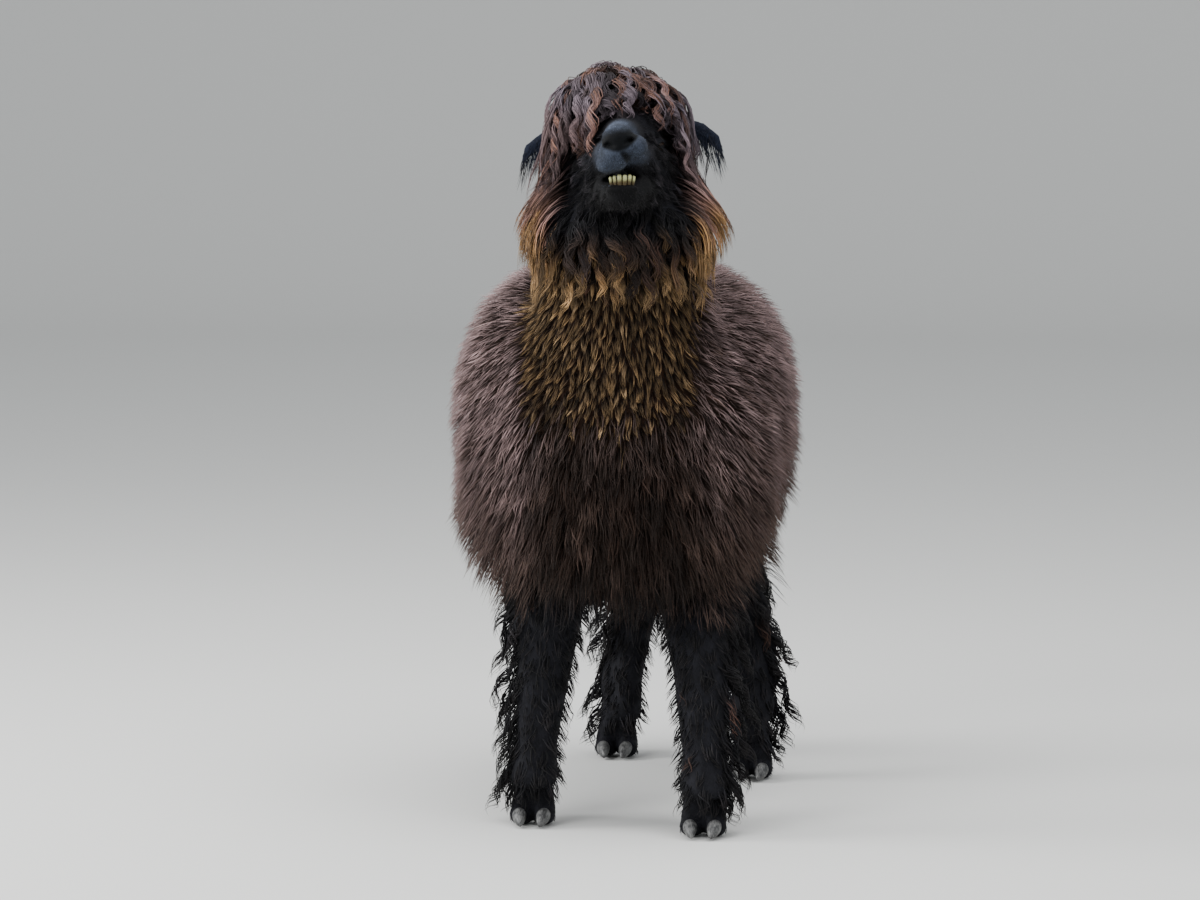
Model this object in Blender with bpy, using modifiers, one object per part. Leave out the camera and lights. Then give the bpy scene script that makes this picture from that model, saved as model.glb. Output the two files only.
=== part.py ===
"""A life-size alpaca in full fleece, standing square with its chin raised, as a still model.

The outline is that of the coat, out to the tips of its locks. The animal faces -Y, its left side is
+X, +Z is up, and the origin lies on the floor under the middle of the whole model. Metres.
The fleece is massed from balls and limbs, fused into closed skins, and parted with thin cuts.
"""

import math

import bmesh
import bpy
from mathutils import Euler, Matrix, Vector

# Driving sizes of the animal in its coat
HEAD_TOP = 1.39
BACK_HEIGHT = 1.045
BARREL_WIDTH = 0.638
BARREL_LENGTH = 1.06
HEM_HEIGHT = 0.415
NECK_WIDTH = 0.335
RUFF_WIDTH = 0.376
FOOT_LENGTH = 0.095
FOOT_WIDTH = 0.092
FOOT_HEIGHT = 0.062
CLAW_LENGTH = 0.048
EYE_RADIUS = 0.0165
HEAD_YAW = math.radians(7.0)
NECK_X = 0.021

# How finely each mass is fused, and how many triangles its skin keeps
FLEECE_VOXEL = 0.0105
WOOL_VOXEL = 0.0062
FACE_VOXEL = 0.0038
FLEECE_TRIANGLES = 2950
WOOL_TRIANGLES = 780
TAIL_TRIANGLES = 150
FACE_TRIANGLES = 780
JAW_TRIANGLES = 180
EAR_TRIANGLES = 90
FOOT_TRIANGLES = 110
GAP = 0.0004

# The front edge of each foot: across, along
FORE_FEET = {"right": Vector((-0.145, -0.036)), "left": Vector((0.176, -0.130))}
HIND_FEET = {"right": Vector((-0.076, 0.782)), "left": Vector((0.213, 0.535))}
SIDE = {"left": 1.0, "right": -1.0}


# ---------------------------------------------------------------------------------------------------
# Scene, materials and the few ways that shapes are made
# ---------------------------------------------------------------------------------------------------
for leftover in list(bpy.data.objects):
    bpy.data.objects.remove(leftover)

alpaca = bpy.data.collections.new("alpaca")
cutters = bpy.data.collections.new("cutters")
cutters.hide_render = True
bpy.context.scene.collection.children.link(alpaca)
bpy.context.scene.collection.children.link(cutters)


def finish_of(name, colour, roughness):
    made = bpy.data.materials.new(name)
    made.use_nodes = True
    shader = made.node_tree.nodes["Principled BSDF"]
    shader.inputs["Base Color"].default_value = (*colour, 1.0)
    shader.inputs["Roughness"].default_value = roughness
    shader.inputs["Metallic"].default_value = 0.0
    return made


MAUVE_FLEECE = finish_of("mauve_fleece", (0.15, 0.11, 0.105), 0.9)
OCHRE_FLEECE = finish_of("ochre_fleece", (0.16, 0.095, 0.045), 0.9)
BLACK_FLEECE = finish_of("black_fleece", (0.018, 0.015, 0.016), 0.9)
FACE_FUR = finish_of("face_fur", (0.03, 0.033, 0.042), 0.7)
EYE_BLACK = finish_of("eye_black", (0.01, 0.008, 0.007), 0.08)
CLAW_HORN = finish_of("claw_horn", (0.26, 0.25, 0.24), 0.45)


def add_ball(shape, centre, radii, turn=(0.0, 0.0, 0.0), boxiness=2.0):
    """A ball stretched to its radii. A boxiness over 2 fills its corners out."""
    made = bmesh.ops.create_uvsphere(shape, u_segments=28, v_segments=18, radius=1.0)["verts"]
    for vert in made:
        total = sum(abs(part) ** boxiness for part in vert.co)
        vert.co /= total ** (1.0 / boxiness)
    place = Matrix.LocRotScale(Vector(centre), Euler(turn), Vector(radii))
    bmesh.ops.transform(shape, matrix=place, verts=made)
    return made


def add_limb(shape, stations):
    """A round limb through stations of (centre, radius): a ball at each and a cone between them."""
    made = []
    for centre, radius in stations:
        made += add_ball(shape, centre, (radius, radius, radius))
    for (start, wide), (end, narrow) in zip(stations, stations[1:]):
        along = Vector(end) - Vector(start)
        cone = bmesh.ops.create_cone(
            shape,
            cap_ends=True,
            segments=24,
            radius1=wide,
            radius2=narrow,
            depth=along.length,
        )["verts"]
        middle = (Vector(start) + Vector(end)) / 2
        place = Matrix.LocRotScale(middle, along.to_track_quat("Z", "Y"), None)
        bmesh.ops.transform(shape, matrix=place, verts=cone)
        made += cone
    return made


def stretch(shape, verts, centre, factors):
    """Stretches or flattens some verts about a centre."""
    bmesh.ops.scale(shape, vec=Vector(factors), space=Matrix.Translation(-Vector(centre)), verts=verts)


def turn_head(shape):
    """Swings what is massed facing -Y to where the head looks, and sets it on the neck."""
    swing = Matrix.Translation((NECK_X, 0, 0)) @ Matrix.Rotation(HEAD_YAW, 4, "Z")
    bmesh.ops.transform(shape, matrix=swing, verts=shape.verts)


def object_from(shape, name, folder=alpaca):
    mesh = bpy.data.meshes.new(name)
    shape.to_mesh(mesh)
    shape.free()
    made = bpy.data.objects.new(name, mesh)
    folder.objects.link(made)
    if folder is cutters:
        made.hide_render = True
        made.display_type = "WIRE"
    return made


def settled(thing):
    """The object with its modifiers made part of its mesh."""
    bpy.context.view_layer.update()
    graph = bpy.context.evaluated_depsgraph_get()
    mesh = bpy.data.meshes.new_from_object(thing.evaluated_get(graph))
    thing.modifiers.clear()
    thing.data = mesh
    return thing


def fuse(thing, voxel, rounds):
    """Melts overlapping masses into one closed skin and smooths its creases."""
    melt = thing.modifiers.new("melt", "REMESH")
    melt.mode = "VOXEL"
    melt.voxel_size = voxel
    soften = thing.modifiers.new("soften", "SMOOTH")
    soften.factor = 0.5
    soften.iterations = rounds
    return settled(thing)


def thin_out(thing, triangles):
    """Keeps about that many triangles, where the form bends most."""
    count = sum(len(face.vertices) - 2 for face in thing.data.polygons)
    thinner = thing.modifiers.new("thin_out", "DECIMATE")
    thinner.ratio = triangles / count
    thinner.use_collapse_triangulate = True
    return settled(thing)


def islands_of(shape):
    """The loose pieces of a bmesh, as sets of verts."""
    unseen = set(shape.verts)
    found = []
    while unseen:
        todo = [unseen.pop()]
        island = set(todo)
        while todo:
            for edge in todo.pop().link_edges:
                for vert in edge.verts:
                    if vert in unseen:
                        unseen.discard(vert)
                        island.add(vert)
                        todo.append(vert)
        found.append(island)
    return found


def without_crumbs(thing):
    """Drops the small loose pieces that a cut can leave beside the main one."""
    shape = bmesh.new()
    shape.from_mesh(thing.data)
    main = max(islands_of(shape), key=len)
    bmesh.ops.delete(shape, geom=[vert for vert in shape.verts if vert not in main], context="VERTS")
    shape.to_mesh(thing.data)
    shape.free()
    return thing


def combine(thing, tool, operation):
    """Cuts thing with tool or joins them, and removes the tool."""
    step = thing.modifiers.new(operation.lower(), "BOOLEAN")
    step.operation = operation
    step.object = tool
    settled(thing)
    bpy.data.objects.remove(tool)
    return without_crumbs(thing)


def grown(thing):
    """A cutter in the shape of thing, larger by the gap all round."""
    shape = bmesh.new()
    shape.from_mesh(thing.data)
    shape.normal_update()
    moved = {vert: vert.co + vert.normal * GAP for vert in shape.verts}
    for vert, place in moved.items():
        vert.co = place
    return object_from(shape, thing.name + "_cutter", cutters)


def trimmed(thing, point, normal, setback=0.0):
    """Keeps what lies ahead of a plane, with its cut face closed and set back a little."""
    shape = bmesh.new()
    shape.from_mesh(thing.data)
    facing = Vector(normal).normalized()
    bmesh.ops.bisect_plane(
        shape,
        geom=[*shape.verts, *shape.edges, *shape.faces],
        plane_co=Vector(point) + facing * setback,
        plane_no=facing,
        clear_inner=True,
        dist=1e-6,
    )
    rim = [edge for edge in shape.edges if edge.is_boundary]
    caps = bmesh.ops.holes_fill(shape, edges=rim, sides=0)["faces"]
    bmesh.ops.triangulate(shape, faces=caps)
    bmesh.ops.recalc_face_normals(shape, faces=shape.faces)
    shape.to_mesh(thing.data)
    shape.free()
    return thing


def parted(thing, point, normal, ahead, behind):
    """Parts thing at a plane into two objects with those names, the gap apart."""
    other = thing.copy()
    other.data = thing.data.copy()
    alpaca.objects.link(other)
    thing.name, other.name = ahead, behind
    trimmed(thing, point, normal, GAP / 2)
    trimmed(other, point, -Vector(normal), GAP / 2)
    return thing, other


def split(thing, name_at):
    """Makes an object of each loose piece. name_at turns a piece's middle into its name."""
    shape = bmesh.new()
    shape.from_mesh(thing.data)
    bpy.data.objects.remove(thing)
    made = {}
    for island in islands_of(shape):
        middle = sum((vert.co for vert in island), Vector()) / len(island)
        kept = {vert.index for vert in island}
        piece = shape.copy()
        spare = [vert for vert in piece.verts if vert.index not in kept]
        bmesh.ops.delete(piece, geom=spare, context="VERTS")
        name = name_at(middle)
        made[name] = object_from(piece, name)
    shape.free()
    return made


# ---------------------------------------------------------------------------------------------------
# Trunk: a boxy barrel of fleece, deep at the breast, with full haunches
# ---------------------------------------------------------------------------------------------------
fleece = bmesh.new()
BARREL = Vector((-0.017, 0.40, 0.735))
add_ball(fleece, BARREL, (BARREL_WIDTH / 2, BARREL_LENGTH / 2, BACK_HEIGHT - BARREL.z), boxiness=2.4)
BREAST = Vector((0.008, 0.05, 0.672))
add_ball(fleece, BREAST, (0.258, 0.225, BREAST.z - HEM_HEIGHT), boxiness=2.3)
BELLY = Vector((-0.024, 0.36, 0.60))
add_ball(fleece, BELLY, (0.300, 0.43, BELLY.z - HEM_HEIGHT - 0.022), boxiness=2.7)
for side in SIDE.values():
    add_ball(fleece, (side * 0.100 + 0.001, 0.71, 0.68), (0.188, 0.235, 0.275), boxiness=2.2)
    add_ball(fleece, (side * 0.132 - 0.006, 0.14, 0.66), (0.168, 0.22, 0.25), boxiness=2.1)

# ---------------------------------------------------------------------------------------------------
# Neck: a thick upright column, a little flattened, that widens into the breast and the withers
# ---------------------------------------------------------------------------------------------------
column = add_limb(
    fleece,
    [
        ((0.004, 0.05, 0.76), NECK_WIDTH / 2 + 0.062),
        ((0.010, 0.025, 0.86), NECK_WIDTH / 2 + 0.028),
        ((0.017, 0.005, 0.95), NECK_WIDTH / 2 + 0.006),
        ((NECK_X, 0.0, 1.04), NECK_WIDTH / 2),
    ],
)
stretch(fleece, column, (0, 0, 0), (1.0, 0.92, 1.0))
add_limb(fleece, [((-0.006, 0.26, 0.895), 0.142), ((0.010, 0.05, 0.985), 0.118)])

# ---------------------------------------------------------------------------------------------------
# Legs: woolled down to the feet and a little splayed. The hind ones bend back to the hock
# ---------------------------------------------------------------------------------------------------
ANKLE_HEIGHT = 0.088
ankles = {}
for side, front in FORE_FEET.items():
    sign = SIDE[side]
    top = Vector((sign * 0.122 + 0.014, 0.075, 0.52))
    knee = Vector((front.x * 0.60 + top.x * 0.40 + 0.004, front.y * 0.5 + 0.066, 0.30))
    ankle = Vector((front.x, front.y + 0.062, ANKLE_HEIGHT))
    ankles["fore", side] = ankle
    add_limb(fleece, [(top, 0.102), (knee, 0.073), (ankle, 0.054)])
    backwool = Vector((sign * 0.008, 0.028, 0.0))
    add_limb(fleece, [(knee + backwool, 0.066), (ankle + backwool, 0.052)])

for side, front in HIND_FEET.items():
    sign = SIDE[side]
    inward = 0.040 if side == "right" else -0.022
    hip = Vector((sign * 0.105 + 0.003, 0.70, 0.59))
    stifle = Vector((hip.x * 0.5 + (front.x + inward) * 0.5 - sign * 0.012, front.y * 0.5 + 0.31, 0.47))
    hock = Vector((front.x + inward, front.y + 0.135, 0.315))
    ankle = Vector((front.x + inward * 0.4, front.y + 0.066, ANKLE_HEIGHT))
    ankles["hind", side] = ankle
    add_limb(fleece, [(hip, 0.145), (stifle, 0.112), (hock, 0.062), (ankle, 0.045)])
    hockwool = Vector((sign * 0.030, 0.030, 0.0))
    high, low = hock - Vector((0, 0, 0.06)), ankle + Vector((0, 0, 0.05))
    add_limb(fleece, [(high + hockwool, 0.056), (low + hockwool, 0.044)])

body = fuse(object_from(fleece, "body"), FLEECE_VOXEL, 9)
thin_out(body, FLEECE_TRIANGLES)

# The tail lies down over the rump
TAIL_ROOT = Vector((-0.005, 0.870, 0.93))
bush = bmesh.new()
add_limb(
    bush,
    [
        (TAIL_ROOT, 0.050),
        (TAIL_ROOT + Vector((0, 0.050, -0.07)), 0.060),
        (TAIL_ROOT + Vector((0, 0.070, -0.16)), 0.055),
        (TAIL_ROOT + Vector((0, 0.062, -0.24)), 0.030),
    ],
)
tail = thin_out(fuse(object_from(bush, "tail"), WOOL_VOXEL, 4), TAIL_TRIANGLES)

# ---------------------------------------------------------------------------------------------------
# Head wool: cheeks that flare like a bell, a dome on the crown, and a fringe of separate locks
# ---------------------------------------------------------------------------------------------------
FACE_BACK = Vector((NECK_X, -0.068, 1.2))
LOOK = Matrix.Rotation(HEAD_YAW, 3, "Z") @ Vector((0, -1, 0))
wool = bmesh.new()
CROWN = Vector((-0.007, -0.022, 1.26))
add_ball(wool, (-0.005, -0.035, 1.082), (RUFF_WIDTH / 2, 0.168, 0.14), boxiness=2.3)
add_ball(wool, (-0.006, -0.025, 1.18), (0.145, 0.148, 0.125), boxiness=2.3)
add_ball(wool, CROWN, (0.119, 0.148, HEAD_TOP - CROWN.z), boxiness=2.2)
turn_head(wool)
head = fuse(object_from(wool, "head_wool"), WOOL_VOXEL, 6)

# The hollow that the wool leaves round the face, with a flat back that the face stands on
HOLLOW = Vector((0.003, -0.180, 1.202))
room = bmesh.new()
add_ball(room, HOLLOW, (0.093, 0.124, 0.090), boxiness=2.4)
turn_head(room)
hollow = trimmed(object_from(room, "face_hollow", cutters), FACE_BACK, LOOK)
combine(head, hollow, "DIFFERENCE")

FRINGE_LOCKS = 15
FRINGE_SWEEP = math.radians(105)
locks = bmesh.new()
locks.from_mesh(head.data)
bpy.data.objects.remove(head)
turn_back = Matrix.Rotation(-HEAD_YAW, 4, "Z") @ Matrix.Translation((-NECK_X, 0, 0))
bmesh.ops.transform(locks, matrix=turn_back, verts=locks.verts)
for lock in range(FRINGE_LOCKS):
    share = lock / (FRINGE_LOCKS - 1) * 2 - 1
    angle = share * FRINGE_SWEEP
    out = Vector((math.sin(angle), -math.cos(angle), 0))
    reach = 0.119 + 0.025 * math.cos(angle)
    hang = 1.306 - 0.125 * abs(share) ** 1.4 - 0.012 * math.sin(lock * 2.4)
    rim_height = 1.335 - 0.055 * abs(share)
    brow = CROWN + out * (reach - 0.055) + Vector((0, 0, 0.092))
    rim = Vector((*(CROWN + out * (reach - 0.012)).xy, rim_height))
    tip = Vector((*(CROWN + out * (reach + 0.002)).xy, min(hang, rim_height - 0.03)))
    add_limb(locks, [(brow, 0.026), (rim, 0.0195), (tip, 0.011)])
turn_head(locks)
head = fuse(object_from(locks, "head_wool"), WOOL_VOXEL, 2)
thin_out(head, WOOL_TRIANGLES)

# ---------------------------------------------------------------------------------------------------
# Face: skull front, nose and split upper lip, with the lower jaw and its incisors as its own piece.
# The nose and lips lean to one side, as in chewing: they are set out upright, then turned
# ---------------------------------------------------------------------------------------------------
SNOUT_AT = Matrix.Translation((-0.008, 0, 1.240)) @ Matrix.Rotation(math.radians(-12), 4, "Y")
flesh = bmesh.new()
add_ball(flesh, (0, -0.2440, 0.0235), (0.0300, 0.0295, 0.0300))
add_ball(flesh, (-0.0150, -0.2435, -0.0045), (0.0280, 0.0310, 0.0290), turn=(0, -0.35, 0))
add_ball(flesh, (-0.0240, -0.2405, -0.0130), (0.0240, 0.0280, 0.0200))
add_ball(flesh, (0.0260, -0.2405, 0.0060), (0.0250, 0.0290, 0.0230), turn=(0, 0.35, 0))
for side in SIDE.values():
    add_limb(flesh, [((side * 0.010, -0.195, 0.003), 0.0295), ((side * 0.014, -0.226, 0.003), 0.0245)])
bmesh.ops.transform(flesh, matrix=SNOUT_AT, verts=flesh.verts)
add_ball(flesh, (0, -0.035, 1.262), (0.072, 0.085, 0.065))
add_ball(flesh, (0, -0.090, 1.272), (0.060, 0.060, 0.055))
add_limb(flesh, [((0, -0.100, 1.264), 0.050), (SNOUT_AT @ Vector((0, -0.228, 0.0235)), 0.029)])
for side in SIDE.values():
    jowl = SNOUT_AT @ Vector((side * 0.014, -0.202, 0.000))
    add_limb(flesh, [((side * 0.034, -0.095, 1.212), 0.047), (jowl, 0.030)])
    add_ball(flesh, (side * 0.050, -0.098, 1.268), (0.022, 0.030, 0.014))
turn_head(flesh)
muzzle = fuse(object_from(flesh, "muzzle"), FACE_VOXEL, 3)

nostrils = bmesh.new()
for side in SIDE.values():
    slit = Vector((side * 0.0175, -0.271, 0.0165))
    add_ball(nostrils, slit, (0.0095, 0.012, 0.0042), turn=(0, side * 0.3, 0))
bmesh.ops.transform(nostrils, matrix=SNOUT_AT, verts=nostrils.verts)
turn_head(nostrils)
combine(muzzle, object_from(nostrils, "nostrils", cutters), "DIFFERENCE")
thin_out(muzzle, FACE_TRIANGLES)

CHIN = Vector((-0.0055, -0.226, 1.163))
bone = bmesh.new()
for side in SIDE.values():
    lip = Vector((side * 0.014 + CHIN.x, CHIN.y + 0.012, CHIN.z + 0.001))
    corner = Vector((side * 0.020 + CHIN.x / 2, -0.178, 1.174))
    hinge = Vector((side * 0.036, -0.085, 1.166))
    add_limb(bone, [(lip, 0.0225), (corner, 0.031), (hinge, 0.043)])
add_ball(bone, CHIN, (0.034, 0.025, 0.021), boxiness=2.2)
turn_head(bone)
jaw = fuse(object_from(bone, "jaw"), FACE_VOXEL, 3)
thin_out(jaw, JAW_TRIANGLES)

INCISORS = 6
INCISOR_PITCH = 0.0084
INCISOR_TOP = 1.2025
TOOTH_ARCH = 0.030
for tooth in range(INCISORS):
    across = (tooth - (INCISORS - 1) / 2) * INCISOR_PITCH
    height = INCISOR_TOP - CHIN.z - 0.003 * abs(across) / (INCISOR_PITCH * 2.5)
    crown = bmesh.new()
    made = bmesh.ops.create_cube(crown, size=1.0)["verts"]
    place = Matrix.LocRotScale(
        Vector((across + CHIN.x, CHIN.y - 0.010 + across**2 / (2 * TOOTH_ARCH), CHIN.z + height / 2)),
        Euler((math.radians(8), 0, across / TOOTH_ARCH * 0.8)),
        Vector((INCISOR_PITCH * 1.08, 0.0062, height)),
    )
    bmesh.ops.transform(crown, matrix=place, verts=made)
    turn_head(crown)
    combine(jaw, object_from(crown, f"incisor_{tooth}", cutters), "UNION")
combine(muzzle, grown(jaw), "DIFFERENCE")
for piece in (muzzle, jaw):
    trimmed(piece, FACE_BACK, LOOK, GAP)

# ---------------------------------------------------------------------------------------------------
# Eyes, and ears that lie out sideways and droop, with their long hair
# ---------------------------------------------------------------------------------------------------
EYE = Vector((0.056, -0.105, 1.245))
EAR_ROOT = Vector((0.092, 0.015, 1.255))
EAR_LIFT = {"left": 0.010, "right": -0.020}
eyes = {}
ears = {}
for side, sign in SIDE.items():
    ball = bmesh.new()
    made = bmesh.ops.create_uvsphere(ball, u_segments=10, v_segments=6, radius=EYE_RADIUS)["verts"]
    bmesh.ops.translate(ball, vec=(sign * EYE.x, EYE.y, EYE.z), verts=made)
    turn_head(ball)
    eyes[side] = object_from(ball, f"eye_{side}")
    combine(muzzle, grown(eyes[side]), "DIFFERENCE")

    blade = bmesh.new()
    root = Vector((sign * EAR_ROOT.x, EAR_ROOT.y, EAR_ROOT.z + EAR_LIFT[side]))
    add_limb(
        blade,
        [
            (root, 0.022),
            (root + Vector((sign * 0.045, -0.008, 0.006)), 0.026),
            (root + Vector((sign * 0.072, -0.014, -0.028)), 0.019),
            (root + Vector((sign * 0.087, -0.018, -0.082)), 0.008),
        ],
    )
    stretch(blade, blade.verts, root, (1.0, 0.75, 1.0))
    turn_head(blade)
    ears[side] = thin_out(fuse(object_from(blade, f"ear_{side}"), FACE_VOXEL, 3), EAR_TRIANGLES)

for inner in (muzzle, jaw, *eyes.values(), *ears.values()):
    combine(head, grown(inner), "DIFFERENCE")

# ---------------------------------------------------------------------------------------------------
# Parting: the topknot off the head, the neck off the trunk, and the legs off below the hem
# ---------------------------------------------------------------------------------------------------
TOPKNOT_BASE = Vector((0, 0, 1.300))
RUFF_HEM = Vector((0, -0.03, 1.0))
RUFF_SLOPE = Vector((0, -0.18, 1))
NECK_BASE = Vector((0, 0.02, 0.88))
NECK_SLOPE = Vector((0, -0.62, 0.78))
LEG_TOP = Vector((0, 0, HEM_HEIGHT - 0.008))
UP = Vector((0, 0, 1))

topknot, head = parted(head, TOPKNOT_BASE, UP, "topknot", "head")
trimmed(head, RUFF_HEM, RUFF_SLOPE, GAP / 2)
neck, trunk = parted(body, NECK_BASE, NECK_SLOPE, "neck", "trunk")
trimmed(neck, RUFF_HEM, -RUFF_SLOPE, GAP / 2)
trunk, shanks = parted(trunk, LEG_TOP, UP, "trunk", "shanks")
trimmed(shanks, (0, 0, FOOT_HEIGHT), UP, GAP / 2)
combine(trunk, grown(tail), "DIFFERENCE")


def leg_at(middle):
    end = "fore" if middle.y < BARREL.y else "hind"
    side = "left" if middle.x > 0.05 else "right"
    return f"{end}leg_{side}"


legs = split(shanks, leg_at)

# ---------------------------------------------------------------------------------------------------
# Feet: two padded toes side by side under each pastern, flat below, each with one long claw
# ---------------------------------------------------------------------------------------------------
TOE_RADIUS = 0.0225
CLAW_ROOT_HEIGHT = 0.028
CLAW_HALF_WIDTH = 0.0170
CLAW_HALF_HEIGHT = 0.0145
feet = []
claws = []
for (end, side), ankle in ankles.items():
    front = (FORE_FEET if end == "fore" else HIND_FEET)[side]
    pad = bmesh.new()
    for toe in (-1, 1):
        middle = front.x + toe * FOOT_WIDTH / 4
        heel_at = Vector((middle, front.y + FOOT_LENGTH - 0.026, 0.017))
        toe_at = Vector((middle, front.y + 0.044, 0.014))
        add_limb(pad, [(ankle, 0.037), (heel_at, 0.026), (toe_at, TOE_RADIUS)])
    foot = thin_out(fuse(object_from(pad, f"{end}foot_{side}"), FACE_VOXEL, 3), FOOT_TRIANGLES)
    trimmed(foot, (0, 0, 0), UP)
    trimmed(foot, (0, 0, FOOT_HEIGHT), -UP, GAP / 2)
    feet.append(foot)
    for toe in (-1, 1):
        horn = bmesh.new()
        made = bmesh.ops.create_uvsphere(horn, u_segments=8, v_segments=5, radius=1.0)["verts"]
        bmesh.ops.rotate(horn, matrix=Matrix.Rotation(math.pi / 2, 3, "X"), verts=made)
        for vert in made:
            forward = (1 - vert.co.y) / 2
            vert.co.x *= CLAW_HALF_WIDTH * (1 - 0.35 * forward)
            vert.co.z = vert.co.z * CLAW_HALF_HEIGHT * (1 - 0.50 * forward) - 0.0225 * forward**1.6
            vert.co.y *= CLAW_LENGTH / 2
        place = Vector((front.x + toe * FOOT_WIDTH / 4, front.y + CLAW_LENGTH / 2, CLAW_ROOT_HEIGHT))
        bmesh.ops.transform(horn, matrix=Matrix.Translation(place), verts=made)
        inner = toe == (-1 if side == "left" else 1)
        claw = object_from(horn, f"{end}claw_{side}_{'inner' if inner else 'outer'}")
        combine(foot, grown(claw), "DIFFERENCE")
        claws.append(claw)

# ---------------------------------------------------------------------------------------------------
# Finishes, and the whole model moved over the origin
# ---------------------------------------------------------------------------------------------------
finishes = {
    MAUVE_FLEECE: [trunk, head, topknot, tail],
    OCHRE_FLEECE: [neck],
    BLACK_FLEECE: [*legs.values(), *ears.values()],
    FACE_FUR: [muzzle, jaw, *feet],
    EYE_BLACK: list(eyes.values()),
    CLAW_HORN: claws,
}
for finish, things in finishes.items():
    for thing in things:
        thing.data.materials.clear()
        thing.data.materials.append(finish)
        thing.data.shade_smooth()
        thing.data.set_sharp_from_angle(angle=math.radians(50))

corners = [vert.co for thing in alpaca.objects for vert in thing.data.vertices]
middle_x = (min(co.x for co in corners) + max(co.x for co in corners)) / 2
middle_y = (min(co.y for co in corners) + max(co.y for co in corners)) / 2
CENTRING = Vector((-middle_x, -middle_y, 0.0))
for thing in alpaca.objects:
    thing.data.transform(Matrix.Translation(CENTRING))
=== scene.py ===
import math

import bmesh
import bpy
import numpy as np
from mathutils import Euler, Matrix, Vector
from mathutils.bvhtree import BVHTree
from mathutils.kdtree import KDTree


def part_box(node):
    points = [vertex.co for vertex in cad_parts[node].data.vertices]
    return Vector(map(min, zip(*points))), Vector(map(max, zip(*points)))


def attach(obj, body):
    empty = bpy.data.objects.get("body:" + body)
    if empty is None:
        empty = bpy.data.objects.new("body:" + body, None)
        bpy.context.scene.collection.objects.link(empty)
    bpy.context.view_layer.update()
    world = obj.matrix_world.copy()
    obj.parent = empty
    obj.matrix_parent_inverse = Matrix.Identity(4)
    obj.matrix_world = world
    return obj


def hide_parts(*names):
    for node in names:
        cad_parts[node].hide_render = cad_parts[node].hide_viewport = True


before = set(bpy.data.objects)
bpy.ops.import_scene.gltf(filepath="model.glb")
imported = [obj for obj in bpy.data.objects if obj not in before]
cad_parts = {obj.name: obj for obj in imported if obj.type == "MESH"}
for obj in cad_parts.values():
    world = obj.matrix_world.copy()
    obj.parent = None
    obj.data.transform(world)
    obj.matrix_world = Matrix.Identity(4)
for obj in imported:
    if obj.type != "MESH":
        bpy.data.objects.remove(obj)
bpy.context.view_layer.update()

# ==== Studio ====
# A pale floor that sweeps up behind the animal into a wall, soft light from above and in front, and
# a camera at the eye height of a standing adult, a long way off, so the view is a long lens's.
FLOOR_NEAR = -16.0
FLOOR_FAR = 12.0
FLOOR_HALF = 14.0
SWEEP_RADIUS = 3.0
SWEEP_STEPS = 12
WALL_TOP = 10.0
PAPER_GREY = (0.66, 0.66, 0.64, 1)
PAPER_ROUGHNESS = 0.9
SKY_WHITE = (0.93, 0.96, 1.0, 1)
SKY_STRENGTH = 0.75
CAMERA_PLACE = Vector((0.951, -9.434, 1.56))
CAMERA_TURN = math.radians(6.0)
CAMERA_DIP = math.radians(5.43)
LENS = 151.6
VIEW_END = 60.0


def object_from(shape, name):
    """A new object in the scene, with a finished shape as its mesh."""
    mesh = bpy.data.meshes.new(name)
    shape.to_mesh(mesh)
    shape.free()
    made = bpy.data.objects.new(name, mesh)
    bpy.context.scene.collection.objects.link(made)
    return made


profile = [(FLOOR_NEAR, 0.0), (FLOOR_FAR, 0.0)]
for step in range(1, SWEEP_STEPS + 1):
    turn = math.radians(90 / SWEEP_STEPS * step)
    profile.append((FLOOR_FAR + SWEEP_RADIUS * math.sin(turn), SWEEP_RADIUS * (1 - math.cos(turn))))
profile.append((profile[-1][0], WALL_TOP))
sweep = bmesh.new()
line = [sweep.verts.new((-FLOOR_HALF, y, z)) for y, z in profile]
edges = [sweep.edges.new(pair) for pair in zip(line, line[1:])]
drawn = bmesh.ops.extrude_edge_only(sweep, edges=edges)["geom"]
far_side = [item for item in drawn if isinstance(item, bmesh.types.BMVert)]
bmesh.ops.translate(sweep, vec=(2 * FLOOR_HALF, 0, 0), verts=far_side)
bmesh.ops.recalc_face_normals(sweep, faces=sweep.faces)
floor = object_from(sweep, "floor")
floor.data.shade_smooth()
paper = bpy.data.materials.new("paper")
paper.use_nodes = True
matt = paper.node_tree.nodes["Principled BSDF"]
matt.inputs["Base Color"].default_value = PAPER_GREY
matt.inputs["Roughness"].default_value = PAPER_ROUGHNESS
floor.data.materials.append(paper)

world = bpy.data.worlds.new("studio")
bpy.context.scene.world = world
world.use_nodes = True
sky = world.node_tree.nodes["Background"]
sky.inputs["Color"].default_value = SKY_WHITE
sky.inputs["Strength"].default_value = SKY_STRENGTH


def add_softbox(name, place, aim, size, power):
    lamp = bpy.data.lights.new(name, "AREA")
    lamp.shape = "RECTANGLE"
    lamp.size, lamp.size_y = size
    lamp.energy = power
    holder = bpy.data.objects.new(name, lamp)
    holder.location = place
    holder.rotation_euler = (Vector(aim) - Vector(place)).to_track_quat("-Z", "Y").to_euler()
    bpy.context.scene.collection.objects.link(holder)


add_softbox("overhead", (0.3, -0.8, 4.6), (0, 0, 0.7), (5.0, 5.0), 260)
add_softbox("key", (-3.2, -5.0, 3.6), (0, -0.2, 0.8), (3.0, 2.4), 210)
add_softbox("side", (-4.6, -0.6, 2.6), (0, 0, 0.8), (2.4, 2.4), 250)
add_softbox("fill", (4.2, -4.0, 2.2), (0, -0.2, 0.8), (2.4, 2.4), 45)

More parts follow.
